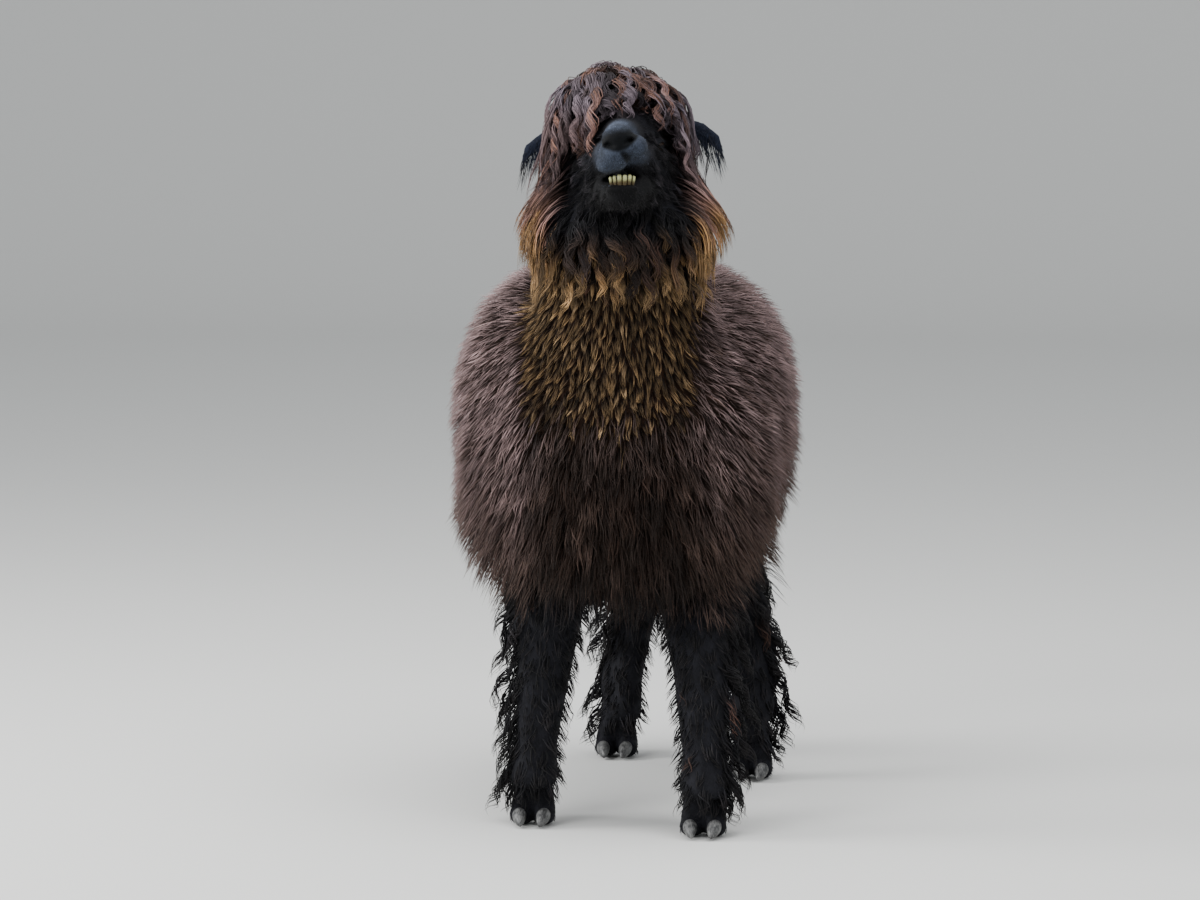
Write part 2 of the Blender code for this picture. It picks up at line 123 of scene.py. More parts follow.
lens = bpy.data.cameras.new("camera")
lens.lens = LENS
lens.sensor_width = 36.0
lens.clip_end = VIEW_END
camera = bpy.data.objects.new("camera", lens)
camera.location = CAMERA_PLACE
camera.rotation_euler = Euler((math.pi / 2 - CAMERA_DIP, 0, CAMERA_TURN))
bpy.context.scene.collection.objects.link(camera)
bpy.context.scene.camera = camera

# ==== Skin ====
# One closed hide over the whole animal, below the fleece: the coat's outline drawn in by the depth
# of the wool, joined to a bare muzzle with an open mouth, to two ears and to four two-toed feet.
BODY_VOXEL = 0.010
FACE_VOXEL = 0.0026
FOOT_VOXEL = 0.0034
EAR_VOXEL = 0.0030
SLIT_VOXEL = 0.0018
SOLE_HEIGHT = 0.0004
SAME_PLACE = 1e-5
SIDES = {"left": 1.0, "right": -1.0}
ENDS = ("fore", "hind")


def middle_of(node):
    low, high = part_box(node)
    return (low + high) / 2


eye_line = middle_of("eye_left") - middle_of("eye_right")
EYE_RADIUS = (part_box("eye_left")[1].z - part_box("eye_left")[0].z) / 2
EYE_HALF = eye_line.length / 2
EYE_HEIGHT = middle_of("eye_left").z
EYE_DEPTH = -0.105
HEAD_TURN = Matrix.Rotation(math.atan2(eye_line.y, eye_line.x), 4, "Z")
HEAD_AT = (
    Matrix.Translation((middle_of("eye_left") + middle_of("eye_right")) / 2)
    @ HEAD_TURN
    @ Matrix.Translation((0, -EYE_DEPTH, -EYE_HEIGHT))
)
HEAD_INVERSE = np.array(HEAD_AT.inverted())
# The muzzle leans to one side, as in chewing: its nose and lips are set out upright, then turned
MUZZLE_LEAN = math.radians(-12)
MUZZLE_AT = Matrix.Translation((-0.008, 0, 1.240)) @ Matrix.Rotation(MUZZLE_LEAN, 4, "Y")
MUZZLE_INVERSE = np.array(MUZZLE_AT.inverted() @ HEAD_AT.inverted())


def head_place(places):
    """Places as the head sees them, in three rows: x across it, y back from its front, z up."""
    return (places @ HEAD_INVERSE[:3, :3].T + HEAD_INVERSE[:3, 3]).T


def muzzle_place(places):
    """Places as the leaning muzzle sees them, in three rows, from its middle between nose and lips."""
    return (places @ MUZZLE_INVERSE[:3, :3].T + MUZZLE_INVERSE[:3, 3]).T


def add_ball(shape, centre, radii, turn=(0.0, 0.0, 0.0)):
    made = bmesh.ops.create_uvsphere(shape, u_segments=32, v_segments=20, radius=1.0)["verts"]
    place = Matrix.LocRotScale(Vector(centre), Euler(turn), Vector(radii))
    bmesh.ops.transform(shape, matrix=place, verts=made)


def add_limb(shape, stations):
    """A round limb through stations of (centre, radius): a ball at each and a cone between them."""
    for centre, radius in stations:
        add_ball(shape, centre, (radius, radius, radius))
    for (start, wide), (end, narrow) in zip(stations, stations[1:]):
        along = Vector(end) - Vector(start)
        cone = bmesh.ops.create_cone(
            shape, cap_ends=True, segments=32, radius1=wide, radius2=narrow, depth=along.length
        )["verts"]
        place = Matrix.LocRotScale((Vector(start) + Vector(end)) / 2, along.to_track_quat("Z", "Y"), None)
        bmesh.ops.transform(shape, matrix=place, verts=cone)


def moved(shape, matrix):
    bmesh.ops.transform(shape, matrix=matrix, verts=shape.verts)


def add_flesh(shape, thing):
    """Adds a finished thing's mesh to a shape that is being built, and clears the thing away."""
    shape.from_mesh(thing.data)
    bpy.data.objects.remove(thing)


def settled(thing):
    """The object with its modifiers made part of its mesh."""
    bpy.context.view_layer.update()
    graph = bpy.context.evaluated_depsgraph_get()
    mesh = bpy.data.meshes.new_from_object(thing.evaluated_get(graph))
    thing.modifiers.clear()
    thing.data = mesh
    return thing


def fuse(thing, voxel, rounds):
    """Melts overlapping masses into one closed skin and smooths its creases."""
    melt = thing.modifiers.new("melt", "REMESH")
    melt.mode = "VOXEL"
    melt.voxel_size = voxel
    soften = thing.modifiers.new("soften", "SMOOTH")
    soften.factor = 0.5
    soften.iterations = rounds
    return settled(thing)


def cut(thing, tool, operation="DIFFERENCE"):
    """Takes a tool's shape away from a thing, or joins it on, and clears the tool away."""
    step = thing.modifiers.new("cut", "BOOLEAN")
    step.operation = operation
    step.object = tool
    settled(thing)
    bpy.data.objects.remove(tool)


def vertex_rows(mesh, kind):
    """One row to a vertex: its place where kind is co, and the way out there where it is normal."""
    rows = np.empty(len(mesh.vertices) * 3, np.float32)
    mesh.vertices.foreach_get(kind, rows)
    return rows.reshape(-1, 3).astype(float)


def rise(value, low, high):
    """0 below low, 1 above high, and smooth between them."""
    share = np.clip((value - low) / (high - low), 0.0, 1.0)
    return share * share * (3 - 2 * share)


def fall(value, low, high):
    """1 below low, 0 above high, and smooth between them."""
    return 1 - rise(value, low, high)


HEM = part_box("trunk")[0].z
RUFF_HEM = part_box("neck")[1].z - 0.04
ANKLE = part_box("foreleg_left")[0].z


def coat_depth(places):
    """How deep the wool is from its tips to the skin: 6 mm on the feet, deepest on ruff and head."""
    height = places[:, 2]
    depth = 0.006 + 0.014 * rise(height, ANKLE + 0.01, ANKLE + 0.09)
    depth += 0.015 * rise(height, HEM - 0.05, HEM + 0.10)
    return depth + 0.014 * rise(height, RUFF_HEM - 0.03, RUFF_HEM + 0.06)


# The coat's outline, filled out inside the head, then drawn in to the skin
outline = bmesh.new()
fleeced = ["trunk", "neck", "head", "topknot", "tail"]
fleeced += [f"{end}leg_{side}" for end in ENDS for side in SIDES]
for node in fleeced:
    outline.from_mesh(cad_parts[node].data)
bmesh.ops.remove_doubles(outline, verts=outline.verts, dist=SAME_PLACE)
skull = bmesh.new()
add_ball(skull, (0.0, -0.085, 1.19), (0.115, 0.115, 0.125))
for sign in SIDES.values():
    add_ball(skull, (sign * 0.080, 0.010, 1.250), (0.070, 0.080, 0.080))
    add_ball(skull, (sign * 0.120, 0.010, 1.190), (0.050, 0.090, 0.090))
moved(skull, HEAD_AT)
add_flesh(outline, object_from(skull, "skull_filler"))
skin = fuse(object_from(outline, "skin"), BODY_VOXEL, 3)
places = vertex_rows(skin.data, "co")
drawn_in = places - vertex_rows(skin.data, "normal") * coat_depth(places)[:, None]
skin.data.vertices.foreach_set("co", drawn_in.astype(np.float32).ravel())
fuse(skin, BODY_VOXEL, 4)

# Rounded nose with its wings, the two lobes of the split upper lip, then forehead, bridge and cheeks
nose = bmesh.new()
add_ball(nose, (0, -0.2435, 0.0235), (0.0290, 0.0285, 0.0285))
add_ball(nose, (0, -0.2580, 0.0130), (0.0170, 0.0150, 0.0140))
add_ball(nose, (-0.0140, -0.2430, -0.0040), (0.0265, 0.0300, 0.0275), turn=(0, -0.35, 0))
add_ball(nose, (-0.0240, -0.2400, -0.0130), (0.0230, 0.0270, 0.0190))
add_ball(nose, (0.0260, -0.2400, 0.0060), (0.0235, 0.0280, 0.0215), turn=(0, 0.35, 0))
for sign in SIDES.values():
    add_ball(nose, (sign * 0.0180, -0.2530, 0.0225), (0.0115, 0.0150, 0.0080), turn=(0, sign * 0.15, 0))
    add_limb(nose, [((sign * 0.010, -0.195, 0.003), 0.028), ((sign * 0.014, -0.226, 0.003), 0.023)])
moved(nose, MUZZLE_AT)
add_ball(nose, (0, -0.035, 1.262), (0.072, 0.085, 0.062))
add_ball(nose, (0, -0.090, 1.268), (0.058, 0.060, 0.052))
add_ball(nose, (-0.007, -0.022, 1.298), (0.082, 0.090, 0.066))
bridge = MUZZLE_AT @ Vector((0, -0.222, 0.0240))
add_limb(nose, [((0, -0.100, 1.264), 0.047), ((-0.004, -0.170, 1.264), 0.034), (bridge, 0.0265)])
for sign in SIDES.values():
    jowl = MUZZLE_AT @ Vector((sign * 0.014, -0.200, 0.000))
    add_limb(nose, [((sign * 0.034, -0.095, 1.212), 0.046), (jowl, 0.028)])
    add_limb(nose, [((sign * 0.040, -0.132, 1.268), 0.010), ((sign * 0.050, -0.085, 1.266), 0.016)])
    add_ball(nose, (sign * 0.046, -0.085, 1.240), (0.018, 0.045, 0.034))
muzzle = fuse(object_from(nose, "muzzle_flesh"), FACE_VOXEL, 3)

# Nostrils, slits that curl up under the rim of the nose, and the groove that splits the lip below it
slots = bmesh.new()
for share in np.linspace(0, 1, 9):
    groove = (0.002 + 0.011 * share, -0.275 + 0.010 * share, 0.006 - 0.028 * share)
    add_ball(slots, groove, (0.0030, 0.018, 0.0042))
for sign in SIDES.values():
    for share in np.linspace(0, 1, 9):
        arch = 0.0060 * math.sin(share * math.pi * 0.8)
        spot = (sign * (0.0075 + 0.0195 * share), -0.277 + 0.025 * share**1.4, 0.0135 + arch)
        add_ball(slots, spot, (0.0034, 0.013, 0.0022 + 0.0022 * math.sin(share * math.pi)))
moved(slots, MUZZLE_AT)
cut(muzzle, fuse(object_from(slots, "slits"), SLIT_VOXEL, 1))

# The jaw, with the lower lip's rim behind which the incisors stand
MOUTH_MIDDLE = -0.0055
bone = bmesh.new()
for sign in SIDES.values():
    lip = Vector((sign * 0.016 + MOUTH_MIDDLE, -0.214, 1.163))
    corner = Vector((sign * 0.024 + MOUTH_MIDDLE / 2, -0.176, 1.173))
    hinge = Vector((sign * 0.038, -0.085, 1.165))
    add_limb(bone, [(lip, 0.0210), (corner, 0.028), (hinge, 0.042)])
add_ball(bone, (MOUTH_MIDDLE, -0.228, 1.160), (0.029, 0.021, 0.0175))
add_ball(bone, (MOUTH_MIDDLE, -0.2385, 1.1755), (0.0300, 0.0125, 0.0110))
jaw = fuse(object_from(bone, "jaw_flesh"), FACE_VOXEL, 4)

# The two made one, and the mouth's opening, from the incisors back to its corners, with the tongue
flesh = bmesh.new()
add_flesh(flesh, muzzle)
add_flesh(flesh, jaw)
face = fuse(object_from(flesh, "face_flesh"), FACE_VOXEL, 1)
gape = (math.radians(-4), math.radians(-7), 0)
opening = bmesh.new()
add_ball(opening, (MOUTH_MIDDLE, -0.226, 1.1965), (0.0430, 0.060, 0.0105), turn=gape)
cut(face, object_from(opening, "mouth"))
lining = bmesh.new()
lining.from_mesh(face.data)
add_ball(lining, (MOUTH_MIDDLE, -0.196, 1.192), (0.012, 0.034, 0.016), turn=gape)
lining.to_mesh(face.data)
lining.free()
fuse(face, FACE_VOXEL, 1)
face.data.transform(HEAD_AT)

# Feet: two padded toes under each pastern, cut flat at the sole
TOE_APART = 0.235
toes = bmesh.new()
for end in ENDS:
    for side in SIDES:
        low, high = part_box(f"{end}foot_{side}")
        middle_x = (low.x + high.x) / 2
        pastern = Vector((middle_x, low.y + 0.058, 0.105))
        for toe in (-1, 1):
            toe_x = middle_x + toe * (high.x - low.x) * TOE_APART
            heel = Vector((toe_x * 0.8 + middle_x * 0.2, high.y - 0.028, 0.022))
            knuckle = Vector((toe_x, low.y + 0.030, 0.020))
            add_limb(toes, [(pastern, 0.030), (heel, 0.023), (knuckle, 0.0195)])
            add_limb(toes, [(pastern, 0.028), (knuckle + Vector((0, 0.012, 0.014)), 0.018)])
feet = fuse(object_from(toes, "feet_flesh"), FOOT_VOXEL, 3)
sole = bmesh.new()
sole.from_mesh(feet.data)
bmesh.ops.bisect_plane(
    sole,
    geom=[*sole.verts, *sole.edges, *sole.faces],
    plane_co=(0, 0, SOLE_HEIGHT),
    plane_no=(0, 0, -1),
    clear_outer=True,
    dist=1e-6,
)
bmesh.ops.holes_fill(sole, edges=[edge for edge in sole.edges if edge.is_boundary], sides=0)
sole.to_mesh(feet.data)
sole.free()

# Ears: flat blades that lie out sideways and droop at their tips, one a little higher than the other
EAR_ROOT = Vector((0.060, 0.012, 1.268))
EAR_LIFT = {"left": 0.010, "right": -0.008}
EAR_FLATNESS = 0.42
EAR_BLADE = [
    ((0.0, 0.0, 0.0), 0.015),
    ((0.045, -0.002, 0.000), 0.0185),
    ((0.080, -0.008, -0.008), 0.0160),
    ((0.106, -0.013, -0.022), 0.0110),
    ((0.120, -0.016, -0.047), 0.0035),
]
ear_shape = bmesh.new()
for side, sign in SIDES.items():
    root = EAR_ROOT + Vector((0, 0, EAR_LIFT[side]))
    blade = bmesh.new()
    stations = [
        (Vector((sign * (root.x + x), root.y + y, root.z + z)), radius)
        for (x, y, z), radius in EAR_BLADE
    ]
    add_limb(blade, stations)
    flat = Matrix.Translation(-Vector((0, root.y, 0)))
    bmesh.ops.scale(blade, vec=(1, EAR_FLATNESS, 1), space=flat, verts=blade.verts)
    add_flesh(ear_shape, object_from(blade, "ear_flesh"))
moved(ear_shape, HEAD_AT)
ears = fuse(object_from(ear_shape, "ears_flesh"), EAR_VOXEL, 2)

for flesh_piece in (face, ears, feet):
    cut(skin, flesh_piece, "UNION")
skin.data.shade_smooth()
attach(skin, "root")
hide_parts(*fleeced, "muzzle", "jaw", "ear_left", "ear_right")
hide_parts(*[f"{end}foot_{side}" for end in ENDS for side in SIDES])


class Wire:
    """A socket in a material, so that sums on it read as sums. add() brings in any other node."""

    def __init__(self, tree, socket=None):
        self.tree = tree
        self.socket = socket

    def add(self, kind, settings, values, output=0):
        made = self.tree.nodes.new("ShaderNode" + kind)
        for name, setting in settings.items():
            setattr(made, name, setting)
        for name, value in values.items():
            if isinstance(value, Wire):
                self.tree.links.new(value.socket, made.inputs[name])
            else:
                made.inputs[name].default_value = value
        return Wire(self.tree, made.outputs[output])

    def sum(self, operation, first, second):
        return self.add("Math", {"operation": operation}, {0: first, 1: second})

    def __add__(self, other):
        return self.sum("ADD", self, other)

    def __radd__(self, other):
        return self.sum("ADD", other, self)

    def __mul__(self, other):
        return self.sum("MULTIPLY", self, other)

    def __rmul__(self, other):
        return self.sum("MULTIPLY", other, self)

    def clip(self, low, high):
        """This value's place from low to high, smoothed at both ends."""
        settings = {"interpolation_type": "SMOOTHSTEP"}
        return self.add("MapRange", settings, {"Value": self, "From Min": low, "From Max": high})

    def mixed(self, first, second):
        """One colour where this is 0, the other where it is 1. Mix's colours are sockets 6 and 7."""
        return self.add("Mix", {"data_type": "RGBA"}, {0: self, 6: first, 7: second}, output=2)

    def scaled(self, size):
        return self.add("VectorMath", {"operation": "SCALE"}, {0: self, "Scale": size})

    def stretched(self, sizes):
        return self.add("VectorMath", {"operation": "MULTIPLY"}, {0: self, 1: sizes})

    def noise(self, scale, detail=3.0):
        return self.add("TexNoise", {}, {"Vector": self, "Scale": scale, "Detail": detail})

    def bump(self, strength, distance):
        return self.add("Bump", {}, {"Strength": strength, "Distance": distance, "Height": self})


OBJECT_PLACE = 3


def finish_for(name, roughness, gloss=0.3, coat=0.0, sheen=0.0):
    """A new finish: its material, its shader, a Wire to hang nodes on, and each point's own place."""
    made = bpy.data.materials.new(name)
    made.use_nodes = True
    shader = made.node_tree.nodes["Principled BSDF"]
    shader.inputs["Roughness"].default_value = roughness
    shader.inputs["Coat Weight"].default_value = coat
    shader.inputs["Sheen Weight"].default_value = sheen
    shader.inputs["Specular IOR Level"].default_value = gloss
    wire = Wire(made.node_tree)
    return made, shader, wire, wire.add("TexCoord", {}, {}, output=OBJECT_PLACE)


def tint_of(wire):
    """The colour that is painted on the piece."""
    return wire.add("Attribute", {"attribute_name": "tint"}, {})


def feed(shader, name, wire):
    wire.tree.links.new(wire.socket, shader.inputs[name])


def colour(red, green, blue):
    """A colour read off a chart in steps of 255, as the light it gives back."""
    steps = np.array([red, green, blue]) / 255
    return np.where(steps < 0.04045, steps / 12.92, ((steps + 0.055) / 1.055) ** 2.4)


BLACK_WOOL = colour(20, 20, 24)
DARK_WOOL = colour(38, 25, 18)
# Black muzzle velvet, its slate blue a painted sheen of the sky on the black fur
VELVET_WITH_PAINTED_SHEEN = colour(41, 46, 56)
LEATHER = colour(5, 6, 8)
EAR_BLACK = colour(22, 26, 38)
# The chin's black wool, darker still as painted shade under the muzzle
CHIN_BLACK_AND_PAINTED_SHADE = colour(7, 7, 8)


def blended(first, second, share):
    return first + (second - first) * np.asarray(share)[..., None]


def under_colours(places):
    """The colour near the skin: dark brown under the fleece, black on the legs, face, ears and chin,
    the chin darker still as painted shade under the muzzle, black velvet on the muzzle whose slate
    blue is a painted sheen of the sky, paler over the top of the nose and its bridge as a painted
    highlight, and bare leather at the nostrils and lip's split, the leather carried up over the lower
    front of the nose and along the split as painted shade."""
    shown = blended(DARK_WOOL, BLACK_WOOL, fall(places[:, 2], HEM - 0.02, HEM + 0.10))
    across, back, up = head_place(places)
    face_share = rise(-back, 0.02, 0.08) * rise(up, 1.06, 1.10) * fall(up, 1.30, 1.33)
    shown = blended(shown, BLACK_WOOL, face_share)
    ear = rise(np.abs(across), 0.090, 0.105) * rise(up, 1.19, 1.21)
    shown = blended(shown, EAR_BLACK, ear)
    # The chin under the muzzle: its black wool drawn darker still, as painted shade
    chin_in_painted_shade = rise(-back, 0.12, 0.17) * fall(up, 1.198, 1.212) * rise(up, 1.10, 1.13)
    shown = blended(shown, CHIN_BLACK_AND_PAINTED_SHADE, chin_in_painted_shade)
    across, back, up = muzzle_place(places)
    front = rise(-back, 0.165, 0.215) * fall(up, 0.075, 0.090)
    shown = blended(shown, VELVET_WITH_PAINTED_SHEEN, front * rise(up, -0.034, -0.022))
    # Painted highlight: the top of the nose and its bridge paler, where the sky lights them
    shown = blended(shown, VELVET_WITH_PAINTED_SHEEN * 2.3, front * rise(up, 0.038, 0.054) * 0.8)
    # Bare black leather round the nostrils, carried up over the lower front of the nose as painted shade
    bare = rise(-back, 0.240, 0.250) * rise(up - 14 * across**2, 0.001, 0.008)
    shown = blended(shown, LEATHER, bare * fall(up + 9 * across**2, 0.034, 0.050))
    # Dark leather along the groove that splits the upper lip, standing also for painted shade in it
    crease = np.abs(across - 0.004 + 0.4 * up)
    split_with_painted_shade = fall(crease, 0.003, 0.009) * fall(up, -0.002, 0.006)
    return blended(shown, LEATHER, split_with_painted_shade * rise(-back, 0.235, 0.250) * 0.9)


def paint(piece, colours):
    """Lays colours, one to a vertex, on a piece as its tint."""
    tint = piece.data.color_attributes.new("tint", "FLOAT_COLOR", "POINT")
    rows = np.ones((len(colours), 4), np.float32)
    rows[:, :3] = colours
    tint.data.foreach_set("color", rows.ravel())


hide, shader, wire, place = finish_for("hide", roughness=0.62, gloss=0.07, sheen=0.02)
tint = tint_of(wire)
nap = place.stretched((1.0, 0.6, 0.3)).noise(900.0)
patches = place.noise(45.0)
mottle = (nap * 0.6 + patches * 0.4).clip(0.36, 0.64)
feed(shader, "Base Color", mottle.mixed(tint.scaled(0.5), tint.scaled(1.6)))
feed(shader, "Roughness", 0.5 + nap * 0.25)
feed(shader, "Normal", (nap + patches * 0.5).bump(0.5, 0.0012))
skin.data.materials.clear()
skin.data.materials.append(hide)
paint(skin, under_colours(vertex_rows(skin.data, "co")))

# ==== Eyes and lids ====
# Wet, nearly black eyes set out to the sides of the head, with a level oval pupil, each held in a
# thick dark lid with an almond opening.
EYE_LOOK = Vector((0.84, -0.52, 0.06)).normalized()
LID_CLEARANCE = 0.0012
LID_THICKNESS = 0.0022
LID_ARCH = 0.50
LID_CORNER = 0.90
LOWER_LID = 0.9
IRIS_SHARE = 0.60
CORNEA_SWELL = 0.07
PUPIL_ACROSS = 0.42
PUPIL_HIGH = 0.24
IRIS = colour(34, 24, 18)
EYE_WHITE = colour(26, 21, 20)
PUPIL = colour(6, 6, 8)

wet, shader, wire, place = finish_for("wet_eye", roughness=0.12, gloss=0.14)
tint = tint_of(wire)
feed(shader, "Base Color", place.noise(900.0).clip(0.35, 0.6).mixed(tint.scaled(0.6), tint))


def slit_at(across):
    """How far the lids' opening reaches above the middle of the eye, as a share of its radius."""
    return LID_ARCH * (1 - (across / LID_CORNER) ** 2)


def finished(piece, material, colours):
    piece.data.shade_smooth()
    piece.data.materials.append(material)
    paint(piece, colours)


for side, sign in SIDES.items():
    look = Vector((sign * EYE_LOOK.x, EYE_LOOK.y, EYE_LOOK.z))
    turn = look.to_track_quat("Z", "Y").to_matrix().to_4x4()
    socket = Matrix.Translation((sign * EYE_HALF, EYE_DEPTH, EYE_HEIGHT)) @ turn
    ball = bmesh.new()
    bmesh.ops.create_uvsphere(ball, u_segments=48, v_segments=32, radius=EYE_RADIUS)
    shades = []
    for vert in ball.verts:
        across = vert.co.x / EYE_RADIUS
        high = vert.co.y / EYE_RADIUS
        rim = math.hypot(across, high)
        front = vert.co.z > 0
        pupil = math.hypot(across / PUPIL_ACROSS, high / PUPIL_HIGH) < 1
        shades.append(PUPIL if front and pupil else IRIS if front and rim < IRIS_SHARE else EYE_WHITE)
        if front and rim < IRIS_SHARE:
            vert.co *= 1 + CORNEA_SWELL * (1 - (rim / IRIS_SHARE) ** 2)
    moved(ball, HEAD_AT @ socket)
    eye = object_from(ball, f"eyeball_{side}")
    finished(eye, wet, np.array(shades))
    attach(eye, "root")
    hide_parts(f"eye_{side}")

    shell = bmesh.new()
    bmesh.ops.create_uvsphere(shell, u_segments=64, v_segments=48, radius=EYE_RADIUS + LID_CLEARANCE)
    opening = []
    for patch in shell.faces:
        middle = patch.calc_center_median() / EYE_RADIUS
        slit = slit_at(middle.x)
        if middle.z < -0.2 or (middle.z > 0 and -LOWER_LID * slit < middle.y < slit):
            opening.append(patch)
    bmesh.ops.delete(shell, geom=opening, context="FACES")
    for vert in shell.verts:
        if vert.is_boundary and vert.co.z > 0:
            slit = slit_at(vert.co.x / EYE_RADIUS)
            vert.co.y = EYE_RADIUS * (slit if vert.co.y > 0 else -LOWER_LID * slit)
            vert.co = vert.co.normalized() * (EYE_RADIUS + LID_CLEARANCE)
    moved(shell, HEAD_AT @ socket)
    lid = object_from(shell, f"eyelid_{side}")
    wall = lid.modifiers.new("wall", "SOLIDIFY")
    wall.thickness = LID_THICKNESS
    wall.offset = 1.0
    soften = lid.modifiers.new("soften", "SMOOTH")
    soften.iterations = 4
    settled(lid)
    finished(lid, hide, np.tile(BLACK_WOOL, (len(lid.data.vertices), 1)))
    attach(lid, "root")

# ==== Incisors ====
# Six lower front teeth in a shallow arc, cream at their worn tops as a painted highlight, amber
# below, with brown stain between them. Camelids have no upper front teeth, only a hard pad.
INCISOR_WIDTHS = (0.0062, 0.0068, 0.0088, 0.0086, 0.0074, 0.0060)
INCISOR_HEIGHTS = (0.0208, 0.0228, 0.0248, 0.0242, 0.0246, 0.0222)
INCISOR_FOOT = 1.1775
INCISOR_FRONT = -0.2440
INCISOR_HALF_DEPTH = 0.0042
INCISOR_SWEEP = 0.011
INCISOR_LEAN = math.radians(11)
INCISOR_SPLAY = math.radians(20)
PAINTED_HIGHLIGHT_CREAM = colour(160, 162, 116)
AMBER = colour(56, 43, 10)
STAIN = colour(50, 34, 12)

ivory, shader, wire, place = finish_for("stained_ivory", roughness=0.38, gloss=0.3, coat=0.08)
tint = tint_of(wire)
brown = tint.stretched((0.58, 0.50, 0.28))
feed(shader, "Base Color", place.noise(220.0).clip(0.50, 0.72).mixed(tint, brown))
feed(shader, "Normal", place.noise(900.0).bump(0.2, 0.0004))

row = bmesh.new()
stains = {}
reached = -sum(INCISOR_WIDTHS) / 2
for wide, tall in zip(INCISOR_WIDTHS, INCISOR_HEIGHTS):
    across = reached + wide / 2
    reached += wide
    fan = across / sum(INCISOR_WIDTHS) * 2
    tooth = bmesh.ops.create_uvsphere(row, u_segments=20, v_segments=16, radius=1.0)["verts"]
    for vert in tooth:
        level = vert.co.z
        # Squares the ball up to a rounded block, then narrows it to its foot and leans its top forward
        total = abs(vert.co.x) ** 3.4 + abs(vert.co.y) ** 2.6 + abs(vert.co.z) ** 3.4
        vert.co /= total ** (1 / 3.0)
        vert.co.x *= 1 - 0.08 * max(0.0, -level)
        vert.co.y += 0.25 * vert.co.z**2 - 0.35 * vert.co.z
        # Cream at the top as a painted highlight, amber below
        body = blended(PAINTED_HIGHLIGHT_CREAM, AMBER, rise(-level, -0.55, 0.15))
        stains[vert] = blended(body, STAIN, rise(abs(vert.co.x), 0.70, 1.0))
    fit = Matrix.LocRotScale(
        Vector((across + MOUTH_MIDDLE, INCISOR_FRONT + INCISOR_SWEEP * fan**2, INCISOR_FOOT + tall / 2)),
        Euler((0, INCISOR_LEAN * fan, INCISOR_SPLAY * fan)),
        Vector((wide / 2 * 1.02, INCISOR_HALF_DEPTH, tall / 2)),
    )
    bmesh.ops.transform(row, matrix=fit, verts=tooth)
moved(row, HEAD_AT)
shades = [stains[vert] for vert in row.verts]
incisors = object_from(row, "incisors")
finished(incisors, ivory, np.array(shades))
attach(incisors, "root")

# ==== Toenails ====
# Each toe ends in one long nail of grey horn that narrows and curves down and in to a blunt point,
# finely ridged along its length.
NAIL_NARROWS = 0.50
NAIL_THINS = 0.30
NAIL_TURNS_IN = 0.006
NAIL_DARK = colour(36, 36, 37)
NAIL_PALE = colour(98, 98, 97)

horn, shader, wire, place = finish_for("nail_horn", roughness=0.42, gloss=0.4)
ridges = wire.add("Mapping", {}, {"Vector": place, "Scale": (900.0, 60.0, 260.0)})
grain = ridges.noise(1.0, detail=2.0)
shown = (grain * 0.55 + place.noise(90.0) * 0.45).clip(0.38, 0.62)
feed(shader, "Base Color", shown.mixed((*NAIL_DARK, 1), (*NAIL_PALE, 1)))
feed(shader, "Roughness", 0.35 + grain * 0.2)
feed(shader, "Normal", grain.bump(0.35, 0.0006))

LAID_LEVEL = Matrix.Rotation(math.pi / 2, 4, "X")
claws = [(end, side, toe) for end in ENDS for side in SIDES for toe in ("inner", "outer")]
for end, side, toe in claws:
    low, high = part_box(f"{end}claw_{side}_{toe}")
    middle = (low + high) / 2
    half = (high - low) / 2
    inward = -SIDES[side] if toe == "outer" else SIDES[side]
    nail_shape = bmesh.new()
    bmesh.ops.create_uvsphere(nail_shape, u_segments=28, v_segments=24, radius=1.0, matrix=LAID_LEVEL)
    for vert in nail_shape.verts:
        forward = (1 - vert.co.y) / 2
        across = vert.co.x * half.x * 1.06 * (1 - NAIL_NARROWS * forward**1.5)
        across += inward * NAIL_TURNS_IN * forward**2
        high_up = vert.co.z * half.z * 0.98 * (1 - NAIL_THINS * forward)
        high_up += half.z * (0.35 - 0.95 * forward**1.8)
        vert.co = Vector((across, vert.co.y * half.y, high_up))
    lowest = min(vert.co.z for vert in nail_shape.verts)
    bmesh.ops.translate(nail_shape, vec=(middle.x, middle.y, low.z - lowest), verts=nail_shape.verts)
    nail = object_from(nail_shape, f"nail_{end}_{side}_{toe}")
    nail.data.shade_smooth()
    nail.data.materials.append(horn)
    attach(nail, "root")
    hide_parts(f"{end}claw_{side}_{toe}")

# ==== The groom ====
# How every coat piece grows: hairs rooted evenly over a zone of the hide, combed along their lie and
# held off the hide, drawn together into locks, waved, and made thin closed three-sided tufts.
DOWN = np.array([0.0, 0.0, -1.0])
REARWARD = np.array([0.0, 1.0, 0.0])
ROOT_SUNK = 0.004
STEPS_PER_WAVE = 5.0
FLYAWAYS = 0.06
FLYAWAY_DROP = 0.035
FLYAWAY_FRIZZ = 4.0
FRIZZ_WAVE = 0.045
GROUND_GAP = 0.002
LENGTHS = (0.72, 1.18)
WIDTHS = (0.7, 1.25)
PULLS = (0.8, 1.1)
WAVE_PITCHES = (0.8, 1.3)
WAVE_DEPTHS = (0.6, 1.3)
WAVE_STARTS = 0.25
WAVE_FULL = 1.4
WAVE_ROUNDNESS = 0.6
SHORTEST_TRIM = 0.05
TUFT_FLATNESS = 0.5
LOCK_LEAN = 0.08
HAIR_LEAN = 0.09
UNDER_LOFT = 0.8
# How much darker the locks set lower under the others are drawn: painted shade
LOWER_LOCK_PAINTED_SHADE = 1.8
PATCH = 0.003
CAP_SHARE = 0.05
MAUVE = colour(159, 135, 134)
UMBER = colour(78, 62, 55)

